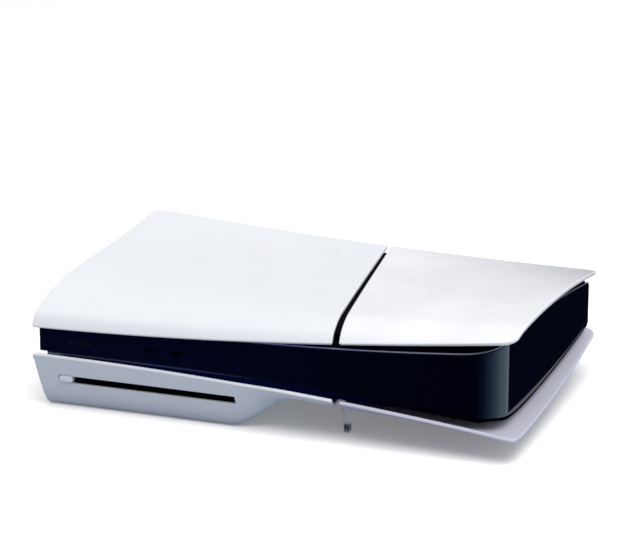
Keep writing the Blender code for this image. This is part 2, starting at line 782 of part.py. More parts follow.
def make_rear_ports():
    """The rear plate and the five sockets that look out through it."""
    left = body_left_x(BODY_REAR_Y) + WALL + 2 * GAP
    plate = rear_band("rear_port_plate", -22.0 - GAP, left, 10, "satin_black")
    for name, (x, low, wide, high, wall, depth, material) in REAR_SOCKETS.items():
        half = wide / 2 + wall
        top = low + high + 2 * wall
        socket = box(name, (x - half, BODY_REAR_Y - depth, low), (x + half, BODY_REAR_Y - 0.4, top),
                     material)
        hollow = box_cutter(name + "_hollow",
                            (x - wide / 2, BODY_REAR_Y - depth + 1.5, low + wall),
                            (x + wide / 2, BODY_REAR_Y + 2, low + wall + high))
        combine(socket, hollow, "DIFFERENCE")
        window = box_cutter(name + "_window",
                            (x - half - GAP, BODY_REAR_Y - 8, low - GAP),
                            (x + half + GAP, BODY_REAR_Y + 4, top + GAP))
        combine(plate, window, "DIFFERENCE")


# ---------------------------------------------------------------- cooling

def make_fan():
    """A blower: a turned housing open to the rear, and a rotor on the Z axis."""
    centre = (*FAN_CENTRE, 0.0)
    low, high = FAN_Z
    inner = FAN_RADIUS + 2.0
    outer = inner + FAN_WALL
    floor = low + FAN_WALL
    roof = high - FAN_WALL
    profile = [(outer, high), (outer, low), (FAN_LOWER_INTAKE, low), (FAN_LOWER_INTAKE, floor),
               (inner, floor), (inner, roof), (INTAKE_RADIUS, roof), (INTAKE_RADIUS, high)]
    housing = spun_piece("fan_housing", profile, centre, "fan_black", steps=36)
    x, y = FAN_CENTRE
    outlet = box_cutter("fan_outlet_cutter", (x - 32, y + 30, low + 2.2), (x + 46, y + 70, high - 2.2))
    combine(housing, outlet, "DIFFERENCE")
    spider = box("fan_spider", (x - 48, y - 5, low - GAP - 2.0), (x + 48, y + 5, low - GAP),
                 "zinc_sheet", rounding=0.6)
    stator = cylinder_mesh("stator_cutter", 12.0, (x, y, low - 1.5), (x, y, low + 14), 24)
    combine(spider, as_cutter("stator_boss", stator), "UNION")
    make_rotor(low + ROTOR_INSET, high - ROTOR_INSET)


def make_rotor(low, high):
    """A hub cup and a web disc whose outer ring carries upright blades, all one piece."""
    steps = 2 * FAN_BLADES
    bm = bmesh.new()
    wall = FAN_WALL
    cup_top = high - 4
    path = [(ROTOR_BORE, cup_top), (ROTOR_HUB, cup_top), (ROTOR_HUB, low + wall),
            (BLADE_START, low + wall), (FAN_RADIUS, low + wall), (FAN_RADIUS, low),
            (ROTOR_HUB - wall, low), (ROTOR_HUB - wall, cup_top - wall),
            (ROTOR_BORE, cup_top - wall)]
    loops = []
    for radius, z in path:
        loop = []
        for k in range(steps):
            angle = math.tau * k / steps
            loop.append(bm.verts.new((radius * math.cos(angle), radius * math.sin(angle), z)))
        loops.append(loop)
    faces = []
    for inner, outer in zip(loops, loops[1:] + loops[:1]):
        for k in range(steps):
            following = (k + 1) % steps
            faces.append(bm.faces.new((inner[k], outer[k], outer[following], inner[following])))
    blade_faces = faces[3 * steps:4 * steps:2]      # every second face of the outer ring
    for face in blade_faces:
        grown = bmesh.ops.extrude_face_region(bm, geom=[face])
        top = [item for item in grown["geom"] if isinstance(item, bmesh.types.BMVert)]
        bmesh.ops.translate(bm, verts=top, vec=(0, 0, high - low - wall))
        bm.faces.remove(face)
    bmesh.ops.recalc_face_normals(bm, faces=bm.faces)
    rotor = add_object("fan_rotor", finish_mesh("fan_rotor", bm), "fan_black", smooth=40)
    rotor.location = (FAN_CENTRE[0] * MM, FAN_CENTRE[1] * MM, 0.0)


def make_heatsink():
    """A finned block: a base plate whose alternate strips rise as fins."""
    bm = bmesh.new()
    strips = 2 * HEATSINK_FINS - 1
    bmesh.ops.create_grid(bm, x_segments=strips, y_segments=1, size=0.5)
    wide = HEATSINK_X[1] - HEATSINK_X[0]
    deep = HEATSINK_Y[1] - HEATSINK_Y[0]
    bmesh.ops.scale(bm, verts=bm.verts, vec=(wide, deep, 1))
    place = ((HEATSINK_X[0] + HEATSINK_X[1]) / 2, (HEATSINK_Y[0] + HEATSINK_Y[1]) / 2, HEATSINK_Z[0])
    bmesh.ops.translate(bm, verts=bm.verts, vec=place)
    grown = bmesh.ops.extrude_face_region(bm, geom=list(bm.faces))
    top = [item for item in grown["geom"] if isinstance(item, bmesh.types.BMVert)]
    bmesh.ops.translate(bm, verts=top, vec=(0, 0, HEATSINK_BASE))
    upper = [face for face in grown["geom"] if isinstance(face, bmesh.types.BMFace)]
    upper.sort(key=lambda face: face.calc_center_median().x)
    fin_height = HEATSINK_Z[1] - HEATSINK_Z[0] - HEATSINK_BASE
    for face in upper[::2]:
        fin = bmesh.ops.extrude_discrete_faces(bm, faces=[face])["faces"]
        bmesh.ops.translate(bm, verts=fin[0].verts, vec=(0, 0, fin_height))
    bmesh.ops.recalc_face_normals(bm, faces=bm.faces)
    add_object("heatsink", finish_mesh("heatsink", bm), "aluminium_fins")


def make_heat_pipes():
    """Three copper pipes from the processor, under the heatsink's base."""
    for k in range(3):
        y = 24.0 + 7 * k
        turn_y = 58.0 + 13 * k
        z = HEATSINK_Z[0] - GAP - HEAT_PIPE_RADIUS - 0.2
        route = [(-42.0 + 3 * k, y, z), (-14.0 - 6 * k, y, z), (0.0 - 5 * k, y + 5, z),
                 (8.0 - 5 * k, (y + turn_y) / 2, z), (16.0 - 3 * k, turn_y - 5, z),
                 (30.0, turn_y, z), (140.0, turn_y, z)]
        tube("heat_pipe_%d" % (k + 1), route, HEAT_PIPE_RADIUS, "copper")


# ---------------------------------------------------------------- boards and power

def make_boards():
    flat_piece("main_board", BOARD_OUTLINE, BOARD_Z, BOARD_THICKNESS, "board_green")
    top = BOARD_Z + BOARD_THICKNESS
    box("processor", (-58, 8, BOARD_Z - GAP - 4.5), (-14, 46, BOARD_Z - GAP), "chip_black", 0.4)
    box("upper_shield", (-120, -70, top + 4), (24, -8, top + 5), "zinc_sheet")
    box("lower_shield", (-158, -84, BOARD_Z - 6), (-70, 40, BOARD_Z - 5), "zinc_sheet")
    box("power_supply", (-158, -6, top + GAP), (-66, 70, top + 20), "chip_black", 1.5)
    box("wireless_board", (-10, -86, top + 1.5), (22, -74, top + 2.7), "board_green")
    cylinder("clock_cell", 10.0, (-40, -40, top + 6), (-40, -40, top + 9.2), "screw_steel", 24)


def make_ssd_bay():
    """The storage bay in the upper shell, with its cover and screw."""
    x0, x1 = SSD_X
    y0, y1 = SSD_Y
    low, high = SSD_Z
    tray = box("ssd_tray", (x0, y0, low), (x1, y1, high - 1.2), "zinc_sheet")
    hollow = box_cutter("ssd_tray_hollow", (x0 + 1, y0 + 1, low + 1), (x1 - 1, y1 - 1, high + 5))
    combine(tray, hollow, "DIFFERENCE")
    box("ssd_module", (x0 + 3, y0 + 3, low + 1 + GAP), (x0 + 83, y1 - 3, low + 4.3), "board_green")
    cover = box("ssd_cover", (x0 + 0.2, y0 + 0.2, high - 0.9), (x1 - 0.2, y1 - 0.2, high), "zinc_sheet")
    screw_x = x1 - 5
    screw_y = (y0 + y1) / 2
    hole = cylinder_mesh("ssd_hole_cutter", SCREW_HOLE_RADIUS, (screw_x, screw_y, low),
                         (screw_x, screw_y, high + 6), 16)
    combine(cover, as_cutter("ssd_hole_cutter", hole), "DIFFERENCE")
    machine_screw("ssd_cover_screw", screw_x, screw_y, high + GAP, 5.0)


def machine_screw(name, x, y, z, length):
    """A pan-head screw whose head rests at z."""
    profile = [(0.0, z + 1.8), (2.3, z + 1.8), (3.0, z + 1.2), (3.0, z), (1.5, z), (1.5, z - length),
               (0.0, z - length)]
    spun_piece(name, profile, (x, y, 0.0), "screw_steel", steps=16, closed=False)


def finish_upper_shell(shell):
    """Intake, storage-bay opening and screw holes in the upper shell."""
    x, y = FAN_CENTRE
    intake = cylinder_mesh("intake_cutter", INTAKE_RADIUS, (x, y, 70), (x, y, 100), 36)
    combine(shell, as_cutter("intake_cutter", intake), "DIFFERENCE")
    bay = box_cutter("bay_cutter", (SSD_X[0] - 1, SSD_Y[0] - 1, 60), (SSD_X[1] + 1, SSD_Y[1] + 1, 95))
    combine(shell, bay, "DIFFERENCE")
    for k, (x, y) in enumerate(SHELL_SCREWS):
        top = MID_Z + panel_height(x, y) - SHELL_BELOW_PANEL
        name = "screw_cutter_%d" % (k + 1)
        hole = cylinder_mesh(name, SCREW_HOLE_RADIUS, (x, y, top - 9), (x, y, top + 4), 12)
        combine(shell, as_cutter(name, hole), "DIFFERENCE")
        machine_screw("shell_screw_%d" % (k + 1), x, y, top + 3 * GAP, SHELL_SCREW_LENGTH)


def finish_lower_shell(shell):
    """Lower intake under the fan."""
    x, y = FAN_CENTRE
    intake = cylinder_mesh("lower_intake_cutter", INTAKE_RADIUS, (x, y, 10), (x, y, 40), 36)
    combine(shell, as_cutter("lower_intake_cutter", intake), "DIFFERENCE")


# ---------------------------------------------------------------- disc drive

def make_drive_case():
    """The drive's tray with its slotted front, and its lid."""
    low = (DRIVE_X[0], DRIVE_Y[0], DRIVE_Z[0])
    high = (DRIVE_X[1], DRIVE_Y[1], DRIVE_Z[1] - 1.0 - GAP)
    tray = box("drive_tray", low, high, "zinc_sheet")
    hollow = box_cutter("drive_hollow",
                        (low[0] + DRIVE_WALL, low[1] + DRIVE_WALL, low[2] + DRIVE_WALL),
                        (high[0] - DRIVE_WALL, high[1] - DRIVE_WALL, high[2] + 5))
    combine(tray, hollow, "DIFFERENCE")
    mouth = box_cutter("drive_mouth_cutter",
                       (SLOT_X[0], low[1] - 3, SLOT_Z - SLOT_HEIGHT / 2),
                       (SLOT_X[1], low[1] + 6, SLOT_Z + SLOT_HEIGHT / 2))
    combine(tray, mouth, "DIFFERENCE")
    box("drive_lid", (DRIVE_X[0], DRIVE_Y[0], DRIVE_Z[1] - 1.0), (DRIVE_X[1], DRIVE_Y[1], DRIVE_Z[1]),
        "zinc_sheet")


def make_drive_works():
    """Feed roller, spindle, and the pickup sled on its rods and lead screw."""
    disc_x, disc_y = DISC_CENTRE
    floor = DRIVE_Z[0] + DRIVE_WALL + GAP
    roller_z = SLOT_Z - SLOT_HEIGHT / 2 - 0.4 - ROLLER_RADIUS
    cylinder("feed_roller", ROLLER_RADIUS, (SLOT_X[0] + 2, ROLLER_Y, roller_z),
             (SLOT_X[1] - 2, ROLLER_Y, roller_z), "rubber", 20)
    motor_top = floor + SPINDLE_MOTOR_HEIGHT
    cylinder("spindle_motor", SPINDLE_MOTOR_RADIUS, (disc_x, disc_y, floor),
             (disc_x, disc_y, motor_top), "screw_steel")
    hub = [(0.0, 22.2), (4.0, 22.2), (7.2, 20.6), (7.2, 18.6), (15.0, 18.6), (15.0, 16.0), (2.0, 16.0),
           (2.0, motor_top + GAP), (0.0, motor_top + GAP)]
    spun_piece("spindle_hub", hub, (disc_x, disc_y, 0.0), "chip_black", closed=False)
    make_sled(disc_x, disc_y)


def rod_hole(sled, name, x, y_range):
    """A running hole through the sled for a rod along Y."""
    hole = cylinder_mesh(name, ROD_RADIUS + GAP, (x, y_range[0], ROD_Z), (x, y_range[1], ROD_Z), 12)
    combine(sled, as_cutter(name, hole), "DIFFERENCE")


def make_sled(disc_x, disc_y):
    """The pickup sled with its nut arm, the rods it slides on, and the screw that drives it."""
    wide, deep, high = SLED_SIZE
    rod_start = disc_y + ROD_START
    rod_end = DRIVE_Y[1] - DRIVE_WALL - GAP
    sled_low = disc_y + SLED_START
    reach = (sled_low - 5, sled_low + deep + 5)
    sled = box("pickup_sled", (disc_x - wide / 2, sled_low, ROD_Z - high / 2),
               (disc_x + wide / 2, sled_low + deep, ROD_Z + high / 2), "chip_black")
    screw_x = disc_x + LEAD_SCREW_OFFSET
    arm = box_cutter("nut_arm", (disc_x + wide / 2 - 1, sled_low + 0.5, ROD_Z - 3),
                     (screw_x + 3.2, sled_low + 5, ROD_Z + 3))
    combine(sled, arm, "UNION")
    for side, x in (("left", disc_x - ROD_SPREAD), ("right", disc_x + ROD_SPREAD)):
        rod_hole(sled, "rod_hole_" + side, x, reach)
        cylinder("guide_rod_" + side, ROD_RADIUS, (x, rod_start, ROD_Z), (x, rod_end, ROD_Z),
                 "screw_steel", 12)
    rod_hole(sled, "nut_hole", screw_x, reach)
    move_origin(sled, (disc_x, sled_low + deep / 2, ROD_Z))
    motor_start = rod_end - SLED_MOTOR_LENGTH
    cylinder("lead_screw", ROD_RADIUS, (screw_x, rod_start, ROD_Z),
             (screw_x, motor_start - 2 * GAP, ROD_Z), "screw_steel", 12)
    cylinder("sled_motor", SLED_MOTOR_RADIUS, (screw_x, motor_start, ROD_Z), (screw_x, rod_end, ROD_Z),
             "screw_steel", 20)
    lens_y = sled_low + deep / 2
    sled_top = ROD_Z + high / 2
    cylinder("pickup_lens", 3.0, (disc_x, lens_y, sled_top + GAP), (disc_x, lens_y, sled_top + 2.1),
             "lens_glass", 20)


# ---------------------------------------------------------------- feet

def make_foot(name, y):
    """A clear foot: a blade up through the slit, and a tapered stem offset to its right."""
    v = (y + DEPTH / 2) / DEPTH
    x = (slit_x(v, 0) + slit_x(v, 1)) / 2
    slit = slit_x(v, 1) - slit_x(v, 0)
    panel_z = MID_Z - panel_height(x, y) - 0.8
    blade_top = MID_Z - panel_height(x, y) + SHELL_BELOW_PANEL - 0.9
    blade = slit - 1.2
    sections = [(0.0, FOOT_OFFSET, 4.2, 5.6), (5.0, FOOT_OFFSET, 4.4, 6.0),
                (panel_z, FOOT_OFFSET - 0.6, 5.6, 7.0), (panel_z, 0.0, blade, 6.0),
                (blade_top, 0.0, blade, 6.0)]
    slant = math.atan2(GAP_FRONT_X[0] - GAP_REAR_X[0], DEPTH)
    stacked_block(name, sections, (x, y), slant, "clear_plastic")


def build():
    panel("top_left_panel", left_side=True, upward=True)
    panel("top_right_panel", left_side=False, upward=True)
    panel("bottom_right_panel", left_side=False, upward=False)
    make_slit_liner()
    make_drive_cover()
    make_front_fascia()
    make_light_guides()
    make_left_end_cap()
    make_rear_grille()
    make_rear_ports()
    finish_upper_shell(make_shell("upper_shell", 1))
    finish_lower_shell(make_shell("lower_shell", -1, DRIVE_ROOF_Z))
    make_buttons()
    make_usb_c_ports()
    make_fan()
    make_heatsink()
    make_heat_pipes()
    make_boards()
    make_ssd_bay()
    make_drive_case()
    make_drive_works()
    make_foot("front_foot", FOOT_FRONT_Y)
    make_foot("rear_foot", FOOT_REAR_Y)


clear_scene()
parts = make_collection("game_console")
cutters = make_collection("cutters")
build()
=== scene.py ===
"""Looks for the slim game console: smooth covers, gloss band, clear feet, and its studio.

Lengths are in millimetres until a mesh is made, when MM turns them into metres. The shape
formulas are the ones the CAD model uses, so every piece here lies on the solid it stands for.
"""

import math

import bmesh
import bpy
from mathutils import Matrix, Vector


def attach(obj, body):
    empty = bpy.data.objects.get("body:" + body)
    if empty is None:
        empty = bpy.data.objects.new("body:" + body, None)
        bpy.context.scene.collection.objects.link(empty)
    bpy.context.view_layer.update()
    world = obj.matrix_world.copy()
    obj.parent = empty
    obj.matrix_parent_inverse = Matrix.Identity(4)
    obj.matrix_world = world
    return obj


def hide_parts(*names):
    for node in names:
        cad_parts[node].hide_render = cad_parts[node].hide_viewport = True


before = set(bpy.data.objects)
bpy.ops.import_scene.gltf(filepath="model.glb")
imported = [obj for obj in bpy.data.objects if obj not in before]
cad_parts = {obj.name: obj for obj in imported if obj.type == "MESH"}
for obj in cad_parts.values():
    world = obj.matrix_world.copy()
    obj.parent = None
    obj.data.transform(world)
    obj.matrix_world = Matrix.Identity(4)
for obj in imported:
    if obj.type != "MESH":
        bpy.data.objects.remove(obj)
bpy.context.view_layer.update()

MM = 0.001

# ---------------------------------------------------------------- the CAD model's dimensions

LENGTH = 358.0
DEPTH = 216.0
MID_Z = 56.0
PANEL_THICKNESS = 2.6
LEFT_EDGE_TAPER = 7.0
RIGHT_EDGE_TAPER = 2.5
FRONT_EDGE_SWEEP = 3.5
CORNER_RADIUS = 9.0
FRONT_LEFT_RADIUS = 1.5
REAR_EDGE_TRIM = 0.4
GAP_FRONT_X = (46.0, 51.3)
GAP_REAR_X = (16.0, 19.1)
LIP_REACH = 8.0
LOWER_RIM_DROP = 4.8
LOWER_DROP_REACH = 60.0

BODY_FRONT_Y = -102.0
BODY_REAR_Y = 102.0
BODY_LEFT_X = (-175.8, -170.0)
BODY_RIGHT_X = (163.7, 174.0)
BODY_CORNER_RADIUS = 26.0
WALL = 2.5
GAP = 0.3
GUIDE_HEIGHT = 1.2
GUIDE_WALL = 1.7

SLOT_X = (-149.6, -27.2)
SLOT_START = -152.0
SLOT_Z = 25.0
BULGE_FALL_X = (-37.0, 17.0)
BULGE_FRONT_SLOPE = 2.5
BULGE_FRONT_ROUNDING = 16.0
BULGE_LEFT_SLOPE = 16.0
BULGE_LEFT_RADIUS = 4.0
BULGE_REAR_START = 62.0
BULGE_REAR_SLOPE = 0.42
BULGE_REAR_ROUNDING = 7.0

POWER_BUTTON_X = (-148.2, -135.0)
POWER_BUTTON_Z = 53.2
POWER_BUTTON_HEIGHT = 1.8
POWER_BUTTON_Y = (-102.5, -96.0)
EJECT_BUTTON_X = (-161.6, -151.4)
EJECT_BUTTON_HEIGHT = 5.0
EJECT_BUTTON_Y = (-101.2, -92.2)
USB_C_X = (-89.5, -70.5)
USB_C_Z = 54.0
USB_C_SIZE = (9.0, 3.2)

FOOT_FRONT_Y = -71.0
FOOT_REAR_Y = 78.0
FOOT_OFFSET = 2.6

# ---------------------------------------------------------------- finer detail added here

EDGE_ROUND = 0.9             # how far a rounded rim stands out from the sheet it closes
RIM_STEPS = 6
RIM_SQUARENESS = 0.45        # power of the rim's profile: 1 is round, 0 is square
SMOOTH_ANGLE = 50            # faces that meet at less than this many degrees are shaded as one
STEEP_SIDE_ROUND = 0.06      # plan width of the rounded rim on the drive cover's steep walls
STEEP_FRONT_ROUND = 0.4

BAND_ROUND = 0.2             # rounding of the gloss band's rims
BAND_END_GAP = 0.2
GUIDE_START_X = -159.7
GUIDE_INSET = 0.4            # how far the guides stand back from the band's face
GUIDE_SHOWN = 0.85           # the strip of the upper light guide that carries its painted highlight
UPPER_GUIDE_ROUND = 0.2
LOWER_GUIDE_ROUND = 0.3
LOWER_GUIDE_START_X = -170.0
APRON_HEIGHT = 4.0           # the strip of painted shade under the lower light guide, navy fading to black
APRON_INSET = 0.6
APRON_WALL = 0.8
APRON_ROUND = 0.2
APRON_NARROWS_X = (50.0, 130.0)
APRON_NARROWING = 0.8        # the share of its height that the apron loses there

CUT_MARGIN = 6.0             # how far a cutter runs past the face it cuts
SLOT_DROP = 0.6              # the slot's cut is lower and taller than the opening it shows
SLOT_CUT_HEIGHT = 6.4
SLOT_CUT_ROUND = 0.8
SLOT_CUT_BACK_Y = -88.0
BUTTON_SEAM = 0.65           # the dark seam round the eject button
EJECT_HOLE_ROUND = 2.4
EJECT_CAP_ROUND = 1.9
EJECT_CAP_CROWN = 0.7
POWER_SEAM = 0.2
POWER_CAP_CROWN = 0.35

FELT_Y = (-97.6, -95.4)
FELT_PARTING = 0.15          # half the gap between the two strips
FELT_BELOW = 3.2             # how far the strips reach below and above the slot's middle
FELT_ABOVE = 2.2
FELT_END_GAP = 0.4
FELT_ROUND = 0.35

FOOT_BELOW_PANEL = 0.8
FOOT_BLADE_RISE = 5.1        # how far the foot's blade reaches up into the slit
FOOT_BLADE_GAP = 0.6
FOOT_DEPTH = 6.0

SYMBOL_CENTRE = (-151.9, 53.7)
SYMBOL_RADII = (1.5, 1.15)
SYMBOL_DEPTH = 0.06
SYMBOL_ARC = (125, 415)      # the ring's two ends, in degrees
SYMBOL_STEPS = 28
SYMBOL_ROUND = 0.02
SYMBOL_BAR = (0.17, 0.3, 1.6)  # the bar's half width, and its two ends above the centre

# ---------------------------------------------------------------- materials


def fill_ramp(node, stops):
    """Set a colour ramp's stops of (position, colour)."""
    elements = node.color_ramp.elements
    while len(elements) < len(stops):
        elements.new(0.5)
    for element, (position, colour) in zip(elements, stops):
        element.position = position
        element.color = (*colour, 1.0)


class Surface:
    """A Principled material and the node tools its detail is built with."""

    def __init__(self, name, colour, roughness, metallic=0.0, **sockets):
        self.material = bpy.data.materials.new(name)
        self.material.use_nodes = True
        self.nodes = self.material.node_tree.nodes
        self.links = self.material.node_tree.links
        self.shader = self.nodes["Principled BSDF"]
        self.colour = colour
        self.shader.inputs["Base Color"].default_value = (*colour, 1.0)
        self.shader.inputs["Roughness"].default_value = roughness
        self.shader.inputs["Metallic"].default_value = metallic
        for socket, value in sockets.items():
            self.shader.inputs[socket.replace("_", " ")].default_value = value
        self.place = self.nodes.new("ShaderNodeTexCoord").outputs["Object"]
        self.height = None

    def stretched(self, scale):
        mapping = self.nodes.new("ShaderNodeMapping")
        mapping.inputs["Scale"].default_value = scale
        self.links.new(self.place, mapping.inputs["Vector"])
        return mapping.outputs["Vector"]

    def noise(self, size, detail=3.0, scale=(1.0, 1.0, 1.0)):
        """Noise whose features are about size millimetres across."""
        texture = self.nodes.new("ShaderNodeTexNoise")
        texture.inputs["Scale"].default_value = 1.0 / (size * MM)
        texture.inputs["Detail"].default_value = detail
        self.links.new(self.stretched(scale), texture.inputs["Vector"])
        return texture.outputs["Fac"]

    def spread(self, value, low, high, start=0.3, end=0.7):
        """Map a texture's middle range onto low to high."""
        ranged = self.nodes.new("ShaderNodeMapRange")
        ranged.inputs["From Min"].default_value = start
        ranged.inputs["From Max"].default_value = end
        ranged.inputs["To Min"].default_value = low
        ranged.inputs["To Max"].default_value = high
        self.links.new(value, ranged.inputs["Value"])
        return ranged.outputs["Result"]

    def vary_roughness(self, value, low, high):
        self.links.new(self.spread(value, low, high), self.shader.inputs["Roughness"])

    def vary_colour(self, value, *stops):
        """Colour from a texture through ramp stops of (position, colour)."""
        ramp = self.nodes.new("ShaderNodeValToRGB")
        fill_ramp(ramp, stops)
        self.links.new(value, ramp.inputs["Fac"])
        self.links.new(ramp.outputs["Color"], self.shader.inputs["Base Color"])

    def colour_along(self, *stops):
        """Colour by place along the object's length: stops of (x in millimetres, colour)."""
        split = self.nodes.new("ShaderNodeSeparateXYZ")
        self.links.new(self.place, split.inputs["Vector"])
        start = stops[0][0]
        end = stops[-1][0]
        share = self.spread(split.outputs["X"], 0.0, 1.0, start * MM, end * MM)
        self.vary_colour(share, *(((x - start) / (end - start), colour) for x, colour in stops))

    def tint(self, value, amount):
        """A slight lightening and darkening of the base colour."""
        darker = tuple(part * (1 - amount) for part in self.colour)
        lighter = tuple(min(part * (1 + amount), 1.0) for part in self.colour)
        self.vary_colour(value, (0.3, darker), (0.7, lighter))

    def bump(self, value, depth, strength=1.0):
        """Relief of a depth in millimetres; a second call adds to the first."""
        node = self.nodes.new("ShaderNodeBump")
        node.inputs["Distance"].default_value = depth * MM
        node.inputs["Strength"].default_value = strength
        self.links.new(value, node.inputs["Height"])
        if self.height is not None:
            self.links.new(self.height, node.inputs["Normal"])
        self.height = node.outputs["Normal"]
        self.links.new(self.height, self.shader.inputs["Normal"])


def moulded(name, colour, roughness, grain=0.35, depth=0.012, **sockets):
    """Injection-moulded plastic: a fine spark-eroded grain and a little unevenness in the gloss."""
    surface = Surface(name, colour, roughness, **sockets)
    surface.tint(surface.noise(38.0, detail=2.0), 0.012)
    surface.vary_roughness(surface.noise(7.0), roughness * 0.92, roughness * 1.08)
    surface.bump(surface.noise(grain, detail=2.0), depth)
    return surface.material


def polished(name, colour, roughness, **sockets):
    """Polished plastic: hairline marks, faint handling haze and a slow waviness."""
    surface = Surface(name, colour, roughness, **sockets)
    surface.tint(surface.noise(60.0, detail=2.0), 0.05)
    surface.vary_roughness(surface.noise(14.0, detail=5.0), roughness * 0.7, roughness * 1.5)
    surface.bump(surface.noise(70.0, detail=1.0), 0.006)
    surface.bump(surface.noise(0.5, detail=2.0, scale=(0.05, 0.05, 1.0)), 0.0006)
    return surface.material


def polished_along(name, roughness, *stops, **sockets):
    """Polished plastic whose colour changes along the object's length, painting the light and shade
    that fall differently along it.
    """
    surface = Surface(name, stops[0][1], roughness, **sockets)
    surface.colour_along(*stops)
    surface.vary_roughness(surface.noise(14.0, detail=5.0), roughness * 0.8, roughness * 1.3)
    surface.bump(surface.noise(70.0, detail=1.0), 0.006)
    return surface.material


def brushed(name, colour, roughness, along="x"):
    """Rolled or brushed metal with fine lines along one axis."""
    scale = {"x": (0.03, 1.0, 1.0), "y": (1.0, 0.03, 1.0), "z": (1.0, 1.0, 0.03)}[along]
    surface = Surface(name, colour, roughness, metallic=1.0)
    lines = surface.noise(0.25, detail=4.0, scale=scale)
    surface.tint(surface.noise(9.0, detail=4.0), 0.06)
    surface.vary_roughness(lines, roughness * 0.8, roughness * 1.25)
    surface.bump(lines, 0.006)
    return surface.material


def zinc_coated(name, colour, roughness):
    """Galvanised sheet with its faint crystal spangle."""
    surface = Surface(name, colour, roughness, metallic=1.0)
    spangle = surface.nodes.new("ShaderNodeTexVoronoi")
    spangle.inputs["Scale"].default_value = 1.0 / (5.0 * MM)
    surface.links.new(surface.place, spangle.inputs["Vector"])
    grey = surface.spread(spangle.outputs["Color"], 0.0, 1.0, 0.0, 1.0)
    surface.tint(grey, 0.10)
    surface.vary_roughness(grey, roughness * 0.85, roughness * 1.2)
    surface.bump(surface.noise(0.3, detail=3.0), 0.004)
    return surface.material


def circuit_board(name, colour):
    """Solder mask with rows of parts and copper lines just under it."""
    surface = Surface(name, colour, 0.35, Coat_Weight=0.3)
    tiles = surface.nodes.new("ShaderNodeTexBrick")
    tiles.inputs["Scale"].default_value = 1.0 / (9.0 * MM)
    tiles.inputs["Mortar Size"].default_value = 0.08
    tiles.inputs["Color1"].default_value = (0.0, 0.0, 0.0, 1.0)
    tiles.inputs["Color2"].default_value = (0.25, 0.25, 0.25, 1.0)
    tiles.inputs["Mortar"].default_value = (1.0, 1.0, 1.0, 1.0)
    surface.links.new(surface.place, tiles.inputs["Vector"])
    lighter = (colour[0] * 2.2, colour[1] * 1.9, colour[2] * 1.6)
    surface.vary_colour(tiles.outputs["Color"], (0.0, colour), (0.9, lighter))
    surface.bump(tiles.outputs["Fac"], 0.08)
    surface.bump(surface.noise(1.2, detail=3.0), 0.02)
    return surface.material


def clear_plastic(name):
    """Water-clear polycarbonate with a little haze and a band of painted shade just above the foot's
    tip, where it meets the floor.
    """
    surface = Surface(name, (0.93, 0.95, 1.0), 0.03, Transmission_Weight=1.0, IOR=1.58)
    split = surface.nodes.new("ShaderNodeSeparateXYZ")
    surface.links.new(surface.place, split.inputs["Vector"])
    clear = (0.93, 0.95, 1.0)
    # painted shade: a dark band about 2 to 5 mm above the floor
    painted_shade_band = (0.10, 0.11, 0.15)
    surface.vary_colour(surface.spread(split.outputs["Z"], 0.0, 1.0, 0.0, 10 * MM),
                        (0.10, clear), (0.18, painted_shade_band), (0.50, painted_shade_band), (0.68, clear))
    surface.vary_roughness(surface.noise(4.0), 0.02, 0.06)
    surface.bump(surface.noise(6.0, detail=1.0), 0.02)
    return surface.material


